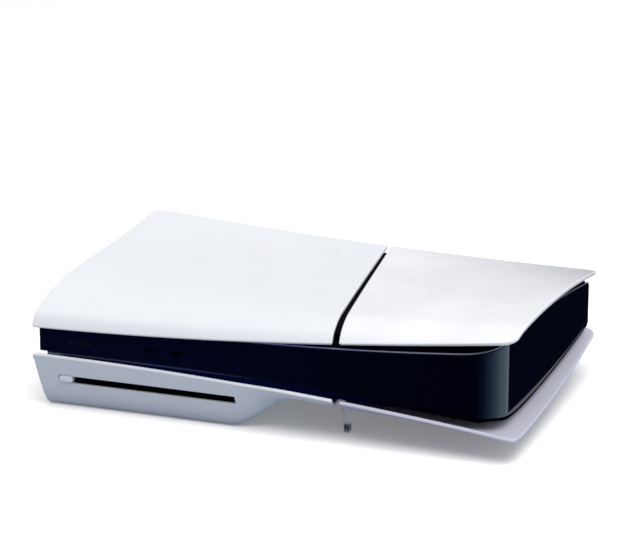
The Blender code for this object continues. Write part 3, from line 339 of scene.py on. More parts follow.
MATERIALS = {
    "white_matte": moulded("white_matte", (0.745, 0.757, 0.775), 0.42, grain=0.3, depth=0.008),
    "white_gloss": polished("white_gloss", (0.82, 0.825, 0.84), 0.12, Specular_IOR_Level=0.4),
    "white_lower": moulded("white_lower", (0.80, 0.82, 0.86), 0.42, grain=0.3, depth=0.008),
    # painted shade: a darker, bluer copy of the lower covers' white, for the lower right cover that
    # lies in the shade of the cover above it
    "white_lower_painted_shade": moulded("white_lower_painted_shade", (0.60, 0.595, 0.70), 0.5, grain=0.4, depth=0.01),
    # painted reflection: the band's colour runs from navy at the left to near black at the right, a
    # painted blue sheen on the black plastic
    "gloss_band": polished_along("gloss_band", 0.035, (-170.0, (0.0016, 0.0032, 0.017)),
                                 (-60.0, (0.0020, 0.0022, 0.015)), (60.0, (0.0004, 0.0012, 0.0060)),
                                 (170.0, (0.0002, 0.0004, 0.0040)), Specular_IOR_Level=0.22),
    # painted shade: a strip in the shaded recess under the lower light guide, navy at the left fading
    # to near black at the right
    "apron_painted_shade": polished_along("apron_painted_shade", 0.3, (-160.0, (0.0010, 0.0040, 0.050)),
                                 (0.0, (0.0010, 0.0035, 0.035)), (90.0, (0.0010, 0.0010, 0.007)),
                                 (170.0, (0.0006, 0.0006, 0.002)), Specular_IOR_Level=0.0),
    "satin_black": moulded("satin_black", (0.0020, 0.0022, 0.0036), 0.6, Specular_IOR_Level=0.02),
    # painted highlight: the guide's lavender, brightest at the left and fading to grey and near black
    # round the right end, paints the light along its edge
    "light_guide": polished_along("light_guide", 0.22, (-60.0, (0.20, 0.27, 0.58)),
                                  (20.0, (0.22, 0.24, 0.56)), (95.0, (0.26, 0.26, 0.42)),
                                  (135.0, (0.24, 0.24, 0.32)), (150.0, (0.15, 0.15, 0.17)),
                                  (175.0, (0.10, 0.10, 0.11))),
    # painted highlight: a blue lit line at the left that fades to black by the right
    "lower_guide": polished_along("lower_guide", 0.22, (-160.0, (0.035, 0.045, 0.090)),
                                  (-100.0, (0.045, 0.060, 0.150)), (-50.0, (0.030, 0.035, 0.085)),
                                  (-10.0, (0.004, 0.006, 0.025)), (90.0, (0.001, 0.001, 0.003)),
                                  Specular_IOR_Level=0.0),
    "button_white": moulded("button_white", (0.80, 0.82, 0.86), 0.3, grain=0.2, depth=0.003),
    "button_black": polished("button_black", (0.004, 0.0045, 0.009), 0.3, Specular_IOR_Level=0.25),
    "glyph_grey": moulded("glyph_grey", (0.012, 0.013, 0.022), 0.4, grain=0.2, depth=0.003),
    "felt_black": moulded("felt_black", (0.0012, 0.0012, 0.0020), 0.95, grain=0.15, depth=0.12,
                          Specular_IOR_Level=0.0),
    "socket_steel": brushed("socket_steel", (0.52, 0.53, 0.55), 0.3, along="x"),
    "socket_black": moulded("socket_black", (0.010, 0.010, 0.011), 0.5),
    "port_black": moulded("port_black", (0.0030, 0.0028, 0.0040), 0.5, Specular_IOR_Level=0.1),
    "clear": clear_plastic("clear"),
    "fan_black": moulded("fan_black", (0.013, 0.013, 0.015), 0.45, grain=0.5, depth=0.02),
    "fins": brushed("fins", (0.72, 0.73, 0.75), 0.35, along="y"),
    "copper": brushed("copper", (0.80, 0.42, 0.25), 0.3, along="x"),
    "zinc": zinc_coated("zinc", (0.56, 0.57, 0.58), 0.4),
    "board": circuit_board("board", (0.012, 0.05, 0.035)),
    "chip_black": moulded("chip_black", (0.022, 0.022, 0.025), 0.4, grain=0.25, depth=0.02),
    "screw_steel": brushed("screw_steel", (0.33, 0.33, 0.35), 0.33, along="z"),
    "rubber": moulded("rubber", (0.022, 0.022, 0.022), 0.8, grain=0.4, depth=0.03),
    "lens": polished("lens", (0.05, 0.06, 0.22), 0.05, Coat_Weight=0.8),
}

CAD_LOOKS = {
    # the CAD nodes that stay on show: material, nodes
    "satin_black": ("left_end_cap", "rear_grille", "rear_port_plate", "upper_shell", "lower_shell",
                    "upper_slit_liner"),
    "port_black": ("usb_c_port_left", "usb_c_port_right"),
    "socket_steel": ("hdmi_port", "lan_port", "usb_a_port_left", "usb_a_port_right"),
    "socket_black": ("power_inlet",),
    "fan_black": ("fan_housing", "fan_rotor"),
    "fins": ("heatsink",),
    "copper": ("heat_pipe_1", "heat_pipe_2", "heat_pipe_3"),
    "zinc": ("fan_spider", "upper_shield", "lower_shield", "ssd_tray", "ssd_cover", "drive_tray",
             "drive_lid"),
    "board": ("main_board", "wireless_board", "ssd_module"),
    "chip_black": ("processor", "power_supply", "spindle_hub", "pickup_sled"),
    "screw_steel": ("shell_screw_1", "shell_screw_2", "shell_screw_3", "shell_screw_4",
                    "ssd_cover_screw", "clock_cell", "spindle_motor", "guide_rod_left",
                    "guide_rod_right", "lead_screw", "sled_motor"),
    "rubber": ("feed_roller",),
    "lens": ("pickup_lens",),
}


def dress_cad_nodes():
    """Give each CAD node that stays on show its finished material."""
    for look, nodes in CAD_LOOKS.items():
        for node in nodes:
            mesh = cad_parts[node].data
            mesh.materials.clear()
            mesh.materials.append(MATERIALS[look])


# ---------------------------------------------------------------- mesh helpers

def finish_mesh(name, bm, smooth=SMOOTH_ANGLE):
    """Turn a millimetre bmesh into a metre mesh; smooth is the largest angle shaded smooth."""
    bmesh.ops.scale(bm, verts=bm.verts, vec=(MM, MM, MM))
    mesh = bpy.data.meshes.new(name)
    bm.to_mesh(mesh)
    bm.free()
    mesh.shade_smooth()
    mesh.set_sharp_from_angle(angle=math.radians(smooth))
    return mesh


def add_piece(name, mesh, look, body, replaces=()):
    piece = bpy.data.objects.new(name, mesh)
    mesh.materials.append(MATERIALS[look])
    bpy.context.scene.collection.objects.link(piece)
    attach(piece, body)
    if replaces:
        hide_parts(*replaces)
    return piece


def crowded(count):
    """Shares from 0 to 1, closer together at both ends."""
    return [(1 - math.cos(math.pi * k / count)) / 2 for k in range(count + 1)]


def closed_sheet(name, columns, rows, place, thickness, edge_round, facing_down=False):
    """A sheet of even thickness with rounded rims, whose outer face is place(column, row)."""
    bm = bmesh.new()
    outer = [[bm.verts.new(place(column, row)) for column in columns] for row in rows]
    wide = len(columns) - 1
    deep = len(rows) - 1
    for j in range(deep):
        for i in range(wide):
            bm.faces.new((outer[j][i], outer[j][i + 1], outer[j + 1][i + 1], outer[j + 1][i]))
    if facing_down:
        bmesh.ops.reverse_faces(bm, faces=bm.faces)
    bm.normal_update()
    inward = {vert: -vert.normal * thickness for vert in bm.verts}
    inner = [[bm.verts.new(vert.co + inward[vert]) for vert in line] for line in outer]
    for j in range(deep):
        for i in range(wide):
            bm.faces.new((inner[j][i], inner[j + 1][i], inner[j + 1][i + 1], inner[j][i + 1]))
    cells = [(0, i) for i in range(wide)] + [(j, wide) for j in range(deep)]
    cells += [(deep, i) for i in range(wide, 0, -1)] + [(j, 0) for j in range(deep, 0, -1)]
    rings = [[outer[j][i] for j, i in cells]]
    turn = -1 if facing_down else 1
    for step in range(1, RIM_STEPS):
        angle = math.pi * step / RIM_STEPS
        across = math.copysign(abs(math.cos(angle)) ** RIM_SQUARENESS, math.cos(angle))
        out = math.sin(angle) ** RIM_SQUARENESS
        ring = []
        for k, (j, i) in enumerate(cells):
            vert = outer[j][i]
            after = rings[0][(k + 1) % len(cells)].co
            before = rings[0][k - 1].co
            outward = (after - before).cross(inward[vert]).normalized() * -turn
            middle = vert.co + inward[vert] / 2
            ring.append(bm.verts.new(middle - inward[vert] / 2 * across + outward * edge_round * out))
        rings.append(ring)
    rings.append([inner[j][i] for j, i in cells])
    for first, second in zip(rings, rings[1:]):
        for k in range(len(cells)):
            following = (k + 1) % len(cells)
            bm.faces.new((first[k], second[k], second[following], first[following]))
    bmesh.ops.recalc_face_normals(bm, faces=bm.faces)
    return finish_mesh(name, bm)


def cut(piece, cutter):
    """Cut a hole with a Boolean and leave plain geometry behind."""
    modifier = piece.modifiers.new("cut", "BOOLEAN")
    modifier.operation = "DIFFERENCE"
    modifier.solver = "EXACT"
    modifier.object = cutter
    bpy.context.view_layer.update()
    mesh = bpy.data.meshes.new_from_object(piece.evaluated_get(bpy.context.evaluated_depsgraph_get()))
    piece.modifiers.clear()
    piece.data = mesh
    mesh.set_sharp_from_angle(angle=math.radians(SMOOTH_ANGLE))
    bpy.data.objects.remove(cutter)


def ring_outline(x_range, z, height, end_round, steps=10):
    """A bar along X seen from the front: (x, z) points round its rounded corners."""
    points = []
    corners = ((x_range[1] - end_round, z - height / 2 + end_round, -90),
               (x_range[1] - end_round, z + height / 2 - end_round, 0),
               (x_range[0] + end_round, z + height / 2 - end_round, 90),
               (x_range[0] + end_round, z - height / 2 + end_round, 180))
    for x, corner_z, start in corners:
        for k in range(steps + 1):
            angle = math.radians(start + 90 * k / steps)
            points.append((x + end_round * math.cos(angle), corner_z + end_round * math.sin(angle)))
    return points


def bar_mesh(name, x_range, z, height, y_range, end_round=None, crown=0.0, crown_steps=4):
    """A bar along X, cut square to Y, whose front face may be crowned with a rounded edge."""
    end_round = height / 2 if end_round is None else end_round
    bm = bmesh.new()
    middle = Vector(((x_range[0] + x_range[1]) / 2, 0.0, z))
    corners = ring_outline(x_range, z, height, end_round)
    outline = [Vector((x, 0.0, side_z)) for x, side_z in corners]
    profile = [(1.0, y_range[1]), (1.0, y_range[0] + crown)]
    for k in range(1, crown_steps + 1 if crown else 1):
        angle = math.pi / 2 * k / crown_steps
        inset = crown * (1 - math.cos(angle)) / (height / 2)
        profile.append((1.0 - inset, y_range[0] + crown * (1 - math.sin(angle))))
    rings = []
    for share, y in profile:
        ring = []
        for point in outline:
            offset = point - middle
            pull = offset.normalized() * (1 - share) * height / 2
            ring.append(bm.verts.new(middle + offset - pull + Vector((0.0, y, 0.0))))
        rings.append(ring)
    for first, second in zip(rings, rings[1:]):
        for k in range(len(outline)):
            following = (k + 1) % len(outline)
            bm.faces.new((first[k], second[k], second[following], first[following]))
    bm.faces.new(rings[0])
    bm.faces.new(reversed(rings[-1]))
    bmesh.ops.recalc_face_normals(bm, faces=bm.faces)
    return finish_mesh(name, bm, smooth=35)


def cutter_from(mesh):
    cutter = bpy.data.objects.new(mesh.name, mesh)
    bpy.context.scene.collection.objects.link(cutter)
    return cutter


def rounded_box(bm, low, high, rounding):
    """Add a box with rounded edges to a millimetre bmesh."""
    low = Vector(low)
    high = Vector(high)
    made = bmesh.ops.create_cube(bm, size=1.0)["verts"]
    bmesh.ops.scale(bm, verts=made, vec=high - low)
    bmesh.ops.translate(bm, verts=made, vec=(low + high) / 2)
    edges = list({edge for vert in made for edge in vert.link_edges})
    bmesh.ops.bevel(bm, geom=edges, offset=rounding, segments=3, profile=0.5, affect="EDGES")


# ---------------------------------------------------------------- the covers' shape

def smooth_step(value):
    value = min(max(value, 0.0), 1.0)
    return value * value * (3 - 2 * value)


def smooth_max(first, second, rounding):
    share = max(rounding - abs(first - second), 0.0)
    return max(first, second) + share * share / (4 * rounding)


def front_edge_y(x):
    return -DEPTH / 2 + FRONT_EDGE_SWEEP * (x + LENGTH / 2) / LENGTH


def left_edge_x(v):
    return -LENGTH / 2 + LEFT_EDGE_TAPER * v


def right_edge_x(v):
    return LENGTH / 2 - RIGHT_EDGE_TAPER * (1 - v)


def slit_x(v, side):
    return GAP_FRONT_X[side] + (GAP_REAR_X[side] - GAP_FRONT_X[side]) * v


def corner_inset(distance, radius):
    reach = max(radius - distance, 0.0)
    return radius - math.sqrt(radius * radius - reach * reach)


def panel_crown(u, v):
    """Height of the broad wave, before the front roll: u left to right, v front to rear."""
    left = 31.3 + 5.7 * v ** 5
    middle = 31.6 - 6.3 * v ** 2
    right = 40.0 - 23.8 * (v - 0.17) ** 2
    at = 0.6
    bend = ((right - left) - (middle - left) / at) / (1 - at)
    slope = (right - left) - bend
    return left + slope * u + bend * u * u


def panel_height(x, y):
    """Height of a cover's outer face above the mid-plane."""
    u = (x + LENGTH / 2) / LENGTH
    front = front_edge_y(x)
    v = (y - front) / (DEPTH / 2 - front)
    rim = 7.9 + 6.2 * u + 22.5 * u * u
    lip = 7.0 - 6.5 * u
    roll_width = 0.45 - 0.6 * u + 0.3 * u * u
    roll = panel_crown(u, 0.0) - rim - lip
    roll_share = max(1 - max(v, 0.0) / roll_width, 0.0) ** 2.5
    lip_share = max(1 - max(y - front, 0.0) / LIP_REACH, 0.0) ** 2
    return panel_crown(u, min(max(v, 0.0), 1.0)) - roll * roll_share - lip * lip_share


def lower_cover_z(x, y):
    """Outer face of the lower covers: the upper ones mirrored, with a drooping front rim."""
    u = (x + LENGTH / 2) / LENGTH
    droop = max(1 - 1.1 * u - (y - front_edge_y(x)) / LOWER_DROP_REACH, 0.0)
    return MID_Z - panel_height(x, y) - LOWER_RIM_DROP * droop


def front_rim_width(x):
    """Plan width of the rounded front rim, narrow where the cover rolls down steeply."""
    front = front_edge_y(x)
    slope = panel_height(x, front + 1.0) - panel_height(x, front)
    return EDGE_ROUND / math.sqrt(1 + slope * slope)


def cover_plan(s, v, left_side, side_round=EDGE_ROUND, front_round=None):
    """Plan position on one cover, inside its rounded rim: s across it, v front to rear.

    The roundings are the plan widths the rim needs; they are small where the cover is steep.
    """
    run = DEPTH - 2 * EDGE_ROUND
    radius = (FRONT_LEFT_RADIUS if left_side and v < 0.5 else CORNER_RADIUS) - side_round
    inset = corner_inset(min(v, 1 - v) * run, radius) + side_round
    if left_side:
        start = left_edge_x(v) + inset
        end = slit_x(v, 0) - EDGE_ROUND
    else:
        start = slit_x(v, 1) + EDGE_ROUND
        end = right_edge_x(v) - inset
    x = start + (end - start) * s
    front = front_edge_y(x) + (front_rim_width(x) if front_round is None else front_round)
    rear = DEPTH / 2 - REAR_EDGE_TRIM - EDGE_ROUND
    return x, front + (rear - front) * v, x - start + side_round


def make_cover(name, node, body, left_side, upward, look):
    """One wavy cover, mirrored about the mid-plane when it faces down."""
    def place(s, v):
        x, y, _ = cover_plan(s, v, left_side)
        return x, y, MID_Z + panel_height(x, y) if upward else lower_cover_z(x, y)

    mesh = closed_sheet(name, crowded(56), crowded(64), place, PANEL_THICKNESS, EDGE_ROUND,
                        facing_down=not upward)
    return add_piece(name, mesh, look, body, (node,))


def left_wall_z(from_edge, rim):
    """Height of the bulge's left wall: a steep slope that runs out in a round corner."""
    slope = rim - BULGE_LEFT_SLOPE * from_edge
    round_start = (rim - BULGE_LEFT_RADIUS) / BULGE_LEFT_SLOPE
    return max(slope, corner_inset(max(from_edge - round_start, 0.0), BULGE_LEFT_RADIUS))


def drive_cover_z(x, y, from_edge):
    """Outer face of the drive cover: the mirrored cover, pushed out by the drive's bulge."""
    base = lower_cover_z(x, y)
    from_front = y - front_edge_y(x)
    v = from_front / (DEPTH / 2 - front_edge_y(x))
    front_rim = lower_cover_z(x, front_edge_y(x))
    left_rim = MID_Z - panel_height(left_edge_x(v), y)
    front_wall = front_rim - BULGE_FRONT_SLOPE * from_front
    rear_wall = (y - BULGE_REAR_START) * BULGE_REAR_SLOPE
    bulge = smooth_max(front_wall, 0.0, BULGE_FRONT_ROUNDING)
    bulge = max(bulge, left_wall_z(from_edge, left_rim))
    bulge = smooth_max(rear_wall, bulge, BULGE_REAR_ROUNDING)
    fall = (x - BULGE_FALL_X[0]) / (BULGE_FALL_X[1] - BULGE_FALL_X[0])
    return min(base, base + (bulge - base) * (1 - smooth_step(fall)))


def shares(steps, length):
    """Distances in millimetres from one edge, as shares of a length."""
    return [step / length for step in steps] + [1.0]


def make_drive_cover():
    """The bulged lower left cover, with the disc slot running on from the eject button."""
    width = slit_x(0, 0) - left_edge_x(0)
    # columns and rows lie closest together where the bulge's walls turn and at the rims
    near_left = [0.25 * k for k in range(13)] + [3.4 + 0.5 * k for k in range(10)]
    across = [9.0 + 1.6 * k for k in range(9)] + [25.0 + 3.1 * k for k in range(63)]
    near_slit = [width - step for step in (3.0, 2.0, 1.2, 0.6, 0.25)]
    columns = shares([step for step in near_left + across if step < width - 4] + near_slit, width)
    near_front = [0.12, 0.35, 0.7] + [1.1 + 0.75 * k for k in range(32)]
    behind = [26.0 + 3.2 * k for k in range(56)]
    near_rear = [DEPTH - step for step in (7, 5, 3.4, 2.2, 1.2, 0.5, 0.12)]
    rows = shares([0.0] + near_front + [step for step in behind if step < DEPTH - 9] + near_rear, DEPTH)

    def place(s, v):
        x, y, from_edge = cover_plan(s, v, True, STEEP_SIDE_ROUND, STEEP_FRONT_ROUND)
        return x, y, drive_cover_z(x, y, from_edge)

    mesh = closed_sheet("drive_cover_skin", columns, rows, place, PANEL_THICKNESS, EDGE_ROUND,
                        facing_down=True)
    cover = add_piece("drive_cover_skin", mesh, "white_lower", "console",
                      ("drive_cover",))
    y_range = (-DEPTH / 2 - CUT_MARGIN, SLOT_CUT_BACK_Y)
    slot = bar_mesh("slot_cut", (SLOT_START, SLOT_X[1]), SLOT_Z - SLOT_DROP, SLOT_CUT_HEIGHT, y_range,
                    end_round=SLOT_CUT_ROUND)
    cut(cover, cutter_from(slot))
    hole = bar_mesh("eject_cut", (EJECT_BUTTON_X[0] - BUTTON_SEAM, EJECT_BUTTON_X[1] + BUTTON_SEAM),
                    SLOT_Z, EJECT_BUTTON_HEIGHT + 2 * BUTTON_SEAM, y_range,
                    end_round=EJECT_HOLE_ROUND)
    cut(cover, cutter_from(hole))


def make_slot_felt():
    """Two felt strips that close the slot to dust, with a thin parting between them."""
    bm = bmesh.new()
    left = EJECT_BUTTON_X[1] + GAP
    right = SLOT_X[1] - FELT_END_GAP
    for low, high in ((-FELT_BELOW, -FELT_PARTING), (FELT_PARTING, FELT_ABOVE)):
        rounded_box(bm, (left, FELT_Y[0], SLOT_Z + low), (right, FELT_Y[1], SLOT_Z + high), FELT_ROUND)
    add_piece("slot_felt", finish_mesh("slot_felt", bm), "felt_black", "console")


# ---------------------------------------------------------------- body band

def body_right_x(y):
    return BODY_RIGHT_X[0] + (BODY_RIGHT_X[1] - BODY_RIGHT_X[0]) * (y - BODY_FRONT_Y) / (
        BODY_REAR_Y - BODY_FRONT_Y)


def rim_height(x, y):
    """Half height of the gloss band along the front and the right end."""
    u = (x + LENGTH / 2) / LENGTH
    rise = 3.5 * smooth_step((y - BODY_FRONT_Y) / 45)
    fall = 14.0 * (max(y + 50, 0.0) / 150) ** 1.6
    return 11.2 + 15.2 * u ** 3 + rise - fall


def band_path(inset, start_x, front_count=60, corner_count=28, side_count=44):
    """Plan points along the front, round the front right corner and back to the rear."""
    front = BODY_FRONT_Y + inset
    radius = BODY_CORNER_RADIUS - inset
    slant = math.atan2(BODY_RIGHT_X[1] - BODY_RIGHT_X[0], BODY_REAR_Y - BODY_FRONT_Y)
    centre_y = BODY_FRONT_Y + BODY_CORNER_RADIUS
    centre_x = body_right_x(centre_y) - BODY_CORNER_RADIUS / math.cos(slant)
    points = [(start_x + (centre_x - start_x) * share, front) for share in crowded(front_count)[:-1]]
    turn = math.pi / 2 - slant
    for k in range(corner_count + 1):
        angle = -math.pi / 2 + turn * k / corner_count
        points.append((centre_x + radius * math.cos(angle), centre_y + radius * math.sin(angle)))
    first_y = points[-1][1]
    for share in crowded(side_count)[1:]:
        y = first_y + (BODY_REAR_Y - BAND_END_GAP - EDGE_ROUND - first_y) * share
        points.append((body_right_x(y) - inset / math.cos(slant), y))
    return points


def make_strip(name, points, low, high, wall, edge_round, rows=12):
    """An upright band along plan points between two heights."""
    def place(index, share):
        x, y = points[index]
        bottom = low(x, y) + edge_round
        return x, y, bottom + (high(x, y) - edge_round - bottom) * share

    return closed_sheet(name, range(len(points)), crowded(rows), place, wall, edge_round)


def make_band():
    """The polished front and right end, with the holes for the button and the sockets."""
    points = band_path(0.0, BODY_LEFT_X[0] + BAND_END_GAP + BAND_ROUND)
    mesh = make_strip("gloss_band_skin", points, lambda x, y: MID_Z - rim_height(x, y),
                      lambda x, y: MID_Z + rim_height(x, y), WALL, BAND_ROUND)
    band = add_piece("gloss_band_skin", mesh, "gloss_band", "console",
                     ("front_fascia",))
    y_range = (BODY_FRONT_Y - CUT_MARGIN, BODY_FRONT_Y + CUT_MARGIN)
    power_x = (POWER_BUTTON_X[0] - POWER_SEAM, POWER_BUTTON_X[1] + POWER_SEAM)
    hole = bar_mesh("power_cut", power_x, POWER_BUTTON_Z, POWER_BUTTON_HEIGHT + 2 * POWER_SEAM, y_range)
    cut(band, cutter_from(hole))
    for x in USB_C_X:
        half = USB_C_SIZE[0] / 2 + GAP
        hole = bar_mesh("usb_c_cut", (x - half, x + half), USB_C_Z, USB_C_SIZE[1] + 2 * GAP, y_range)
        cut(band, cutter_from(hole))


def apron_height(x):
    """The apron narrows to a thin strip before the band turns the corner."""
    start, end = APRON_NARROWS_X
    return APRON_HEIGHT * (1 - APRON_NARROWING * smooth_step((x - start) / (end - start)))


def make_light_guides():
    """Thin light guides above and below the band, and under the lower one an apron of painted shade,
    navy fading to black.
    """
    mesh = make_strip("upper_guide_skin", band_path(GUIDE_INSET, GUIDE_START_X),
                      lambda x, y: MID_Z + rim_height(x, y) + GAP,
                      lambda x, y: MID_Z + rim_height(x, y) + GAP + GUIDE_SHOWN,
                      GUIDE_SHOWN, UPPER_GUIDE_ROUND, rows=4)
    add_piece("upper_guide_skin", mesh, "light_guide", "console",
              ("upper_light_guide",))
    mesh = make_strip("lower_guide_skin", band_path(GUIDE_INSET, LOWER_GUIDE_START_X),
                      lambda x, y: MID_Z - rim_height(x, y) - GAP - GUIDE_HEIGHT,
                      lambda x, y: MID_Z - rim_height(x, y) - GAP,
                      GUIDE_WALL, LOWER_GUIDE_ROUND, rows=4)
    add_piece("lower_guide_skin", mesh, "lower_guide", "console",
              ("lower_light_guide",))
    top = GAP + GUIDE_HEIGHT + GAP
    mesh = make_strip("lower_apron", band_path(APRON_INSET, LOWER_GUIDE_START_X),
                      lambda x, y: MID_Z - rim_height(x, y) - top - apron_height(x),
                      lambda x, y: MID_Z - rim_height(x, y) - top,
                      APRON_WALL, APRON_ROUND, rows=4)
    add_piece("lower_apron", mesh, "apron_painted_shade", "console")


# ---------------------------------------------------------------- buttons, marks and feet

def make_buttons():
    mesh = bar_mesh("power_button_cap", POWER_BUTTON_X, POWER_BUTTON_Z, POWER_BUTTON_HEIGHT,
                    POWER_BUTTON_Y, crown=POWER_CAP_CROWN)
    add_piece("power_button_cap", mesh, "button_black", "power_button_body",
              ("power_button",))
    mesh = bar_mesh("eject_button_cap", EJECT_BUTTON_X, SLOT_Z, EJECT_BUTTON_HEIGHT, EJECT_BUTTON_Y,
                    end_round=EJECT_CAP_ROUND, crown=EJECT_CAP_CROWN)
    add_piece("eject_button_cap", mesh, "button_white", "eject_button_body",
              ("eject_button",))


def make_power_symbol():
    """A plain on-off symbol, an open ring with a bar, printed beside the power button."""
    bm = bmesh.new()
    centre = Vector((SYMBOL_CENTRE[0], BODY_FRONT_Y, SYMBOL_CENTRE[1]))
    outer, inner = SYMBOL_RADII
    start, end = SYMBOL_ARC
    loops = []
    for radius, y in ((outer, 0.0), (outer, -SYMBOL_DEPTH), (inner, -SYMBOL_DEPTH), (inner, 0.0)):
        loop = []
        for k in range(SYMBOL_STEPS + 1):
            angle = math.radians(start + (end - start) * k / SYMBOL_STEPS)
            offset = Vector((radius * math.cos(angle), y, radius * math.sin(angle)))
            loop.append(bm.verts.new(centre + offset))
        loops.append(loop)
    for first, second in zip(loops, loops[1:] + loops[:1]):
        for k in range(SYMBOL_STEPS):
            bm.faces.new((first[k], first[k + 1], second[k + 1], second[k]))
    for k in (0, SYMBOL_STEPS):
        bm.faces.new([loop[k] for loop in loops])
    half, low, high = SYMBOL_BAR
    rounded_box(bm, centre + Vector((-half, -SYMBOL_DEPTH, low)), centre + Vector((half, 0.0, high)),
                SYMBOL_ROUND)
    bmesh.ops.recalc_face_normals(bm, faces=bm.faces)
    add_piece("power_symbol", finish_mesh("power_symbol", bm), "glyph_grey", "console")


def foot_block(name, y, node):
    """A clear foot: a tapered stem below the covers and a blade up through the slit."""
    v = (y + DEPTH / 2) / DEPTH
    x = (slit_x(v, 0) + slit_x(v, 1)) / 2
    blade = slit_x(v, 1) - slit_x(v, 0) - 2 * FOOT_BLADE_GAP
    panel_z = MID_Z - panel_height(x, y) - FOOT_BELOW_PANEL
    top = MID_Z - panel_height(x, y) + FOOT_BLADE_RISE
    turn = Matrix.Rotation(math.atan2(GAP_FRONT_X[0] - GAP_REAR_X[0], DEPTH), 3, "Z")
    head = FOOT_OFFSET - 0.6
    sections = [  # height, offset across the slit, width and depth
        (0.0, FOOT_OFFSET, 3.4, 4.8),
        (0.5, FOOT_OFFSET, 4.2, 5.6),
        (5.0, FOOT_OFFSET, 4.4, FOOT_DEPTH),
        (panel_z - 0.6, head, 7.2, 7.0),
        (panel_z, head, 6.6, 6.4),
        (panel_z, 0.0, blade, FOOT_DEPTH),
        (top, 0.0, blade, FOOT_DEPTH),
    ]
    bm = bmesh.new()
    rings = []
    for z, offset, wide, deep in sections:
        outline = ring_outline((offset - wide / 2, offset + wide / 2), 0.0, deep, 0.9, steps=4)
        rings.append([bm.verts.new(turn @ Vector((px, py, z)) + Vector((x, y, 0.0)))
                      for px, py in outline])
    for first, second in zip(rings, rings[1:]):
        for k in range(len(first)):
            following = (k + 1) % len(first)
            bm.faces.new((first[k], first[following], second[following], second[k]))
    bm.faces.new(reversed(rings[0]))
    bm.faces.new(rings[-1])
    bmesh.ops.recalc_face_normals(bm, faces=bm.faces)
    add_piece(name, finish_mesh(name, bm, smooth=40), "clear", "console", (node,))


def make_feet():
    foot_block("front_foot_clear", FOOT_FRONT_Y, "front_foot")
    foot_block("rear_foot_clear", FOOT_REAR_Y, "rear_foot")


# ---------------------------------------------------------------- studio

CAMERA_AZIMUTH = math.radians(19.707)
CAMERA_ELEVATION = math.radians(18.084)
CAMERA_DISTANCE = 2.2
CAMERA_PIVOT = Vector((-0.005556, 0.0, 0.077532))
CAMERA_TARGET = Vector((-0.00704, 0.00415, 0.09104))
CAMERA_LENS = 175.37
FLOOR_SIZE = 12.0
FLOOR_COLOUR = (0.50, 0.50, 0.50)
FLOOR_GLOW = 0.19
BOUNCE_COLOUR = (0.40, 0.44, 0.51)
BOUNCE_DROP = 0.2
SKY_STRENGTH = 0.75
SKY_STOPS = ((0.0, (0.008, 0.012, 0.03)), (0.16, (0.55, 0.58, 0.64)), (0.5, (0.85, 0.88, 0.95)),
             (1.0, (1.0, 1.0, 1.0)))
# the panel's colour by compass direction, from the front (0) past the right end to the rear (1)
PANEL_STOPS = ((0.14, (0.0, 0.0, 0.0)), (0.27, (0.12, 0.28, 0.6)), (0.40, (0.66, 1.26, 2.2)),
               (0.60, (2.0, 3.0, 3.7)), (0.855, (1.1, 1.35, 1.63)), (0.861, (0.0, 0.0, 0.0)))


LIGHTS = {
    # place, aim, size, power, colour
    "overhead": ((0.7, -0.2, 2.4), (0.0, 0.0, 0.0), (3.2, 3.0), 33.5, (1.0, 0.985, 0.965)),
    "right_fill": ((2.6, 0.2, 1.3), (0.1, 0.0, 0.05), (1.2, 1.6), 15.0, (1.0, 1.0, 1.0)),
    "front_fill": ((0.6, -1.8, 2.2), (0.0, 0.0, 0.05), (2.0, 1.0), 16.0, (1.0, 1.0, 1.0)),
    "floor_light": ((0.5, -1.0, 2.4), (0.1, 0.1, 0.0), (2.4, 2.0), 120.0, (1.0, 1.0, 1.0)),
}


def make_camera():
    camera = bpy.data.objects.new("camera", bpy.data.cameras.new("camera"))
    back = Vector((math.sin(CAMERA_AZIMUTH) * math.cos(CAMERA_ELEVATION),
                   -math.cos(CAMERA_AZIMUTH) * math.cos(CAMERA_ELEVATION),
                   math.sin(CAMERA_ELEVATION)))
    camera.location = CAMERA_PIVOT + back * CAMERA_DISTANCE
    camera.rotation_euler = (camera.location - CAMERA_TARGET).to_track_quat("Z", "Y").to_euler()
    camera.data.lens = CAMERA_LENS
    camera.data.sensor_width = 36.0
    camera.data.clip_end = 50.0
    bpy.context.scene.collection.objects.link(camera)
    bpy.context.scene.camera = camera


def floor_plane(name, z, colour, glow):
    bm = bmesh.new()
    bmesh.ops.create_grid(bm, x_segments=1, y_segments=1, size=FLOOR_SIZE / 2 / MM)
    bmesh.ops.translate(bm, verts=bm.verts, vec=(0, 0, z))
    mesh = finish_mesh(name, bm)
    floor = bpy.data.objects.new(name, mesh)
    surface = Surface(name, colour, 0.9, Specular_IOR_Level=0.0)
    surface.tint(surface.noise(400.0, detail=1.0), 0.004)
    surface.shader.inputs["Emission Color"].default_value = (1.0, 1.0, 1.0, 1.0)
    surface.shader.inputs["Emission Strength"].default_value = glow
    mesh.materials.append(surface.material)
    bpy.context.scene.collection.objects.link(floor)
    floor.visible_glossy = False
    return floor


def make_floor():
    """The white floor in view, and just under it a greyer one that lights the underside."""
    shown = floor_plane("studio_floor", 0.0, FLOOR_COLOUR, FLOOR_GLOW)
    shown.visible_diffuse = False
    shown.visible_shadow = False
    bounce = floor_plane("bounce_floor", -BOUNCE_DROP, BOUNCE_COLOUR, 0.0)
    bounce.visible_camera = False
    bounce.visible_transmission = False
    return shown


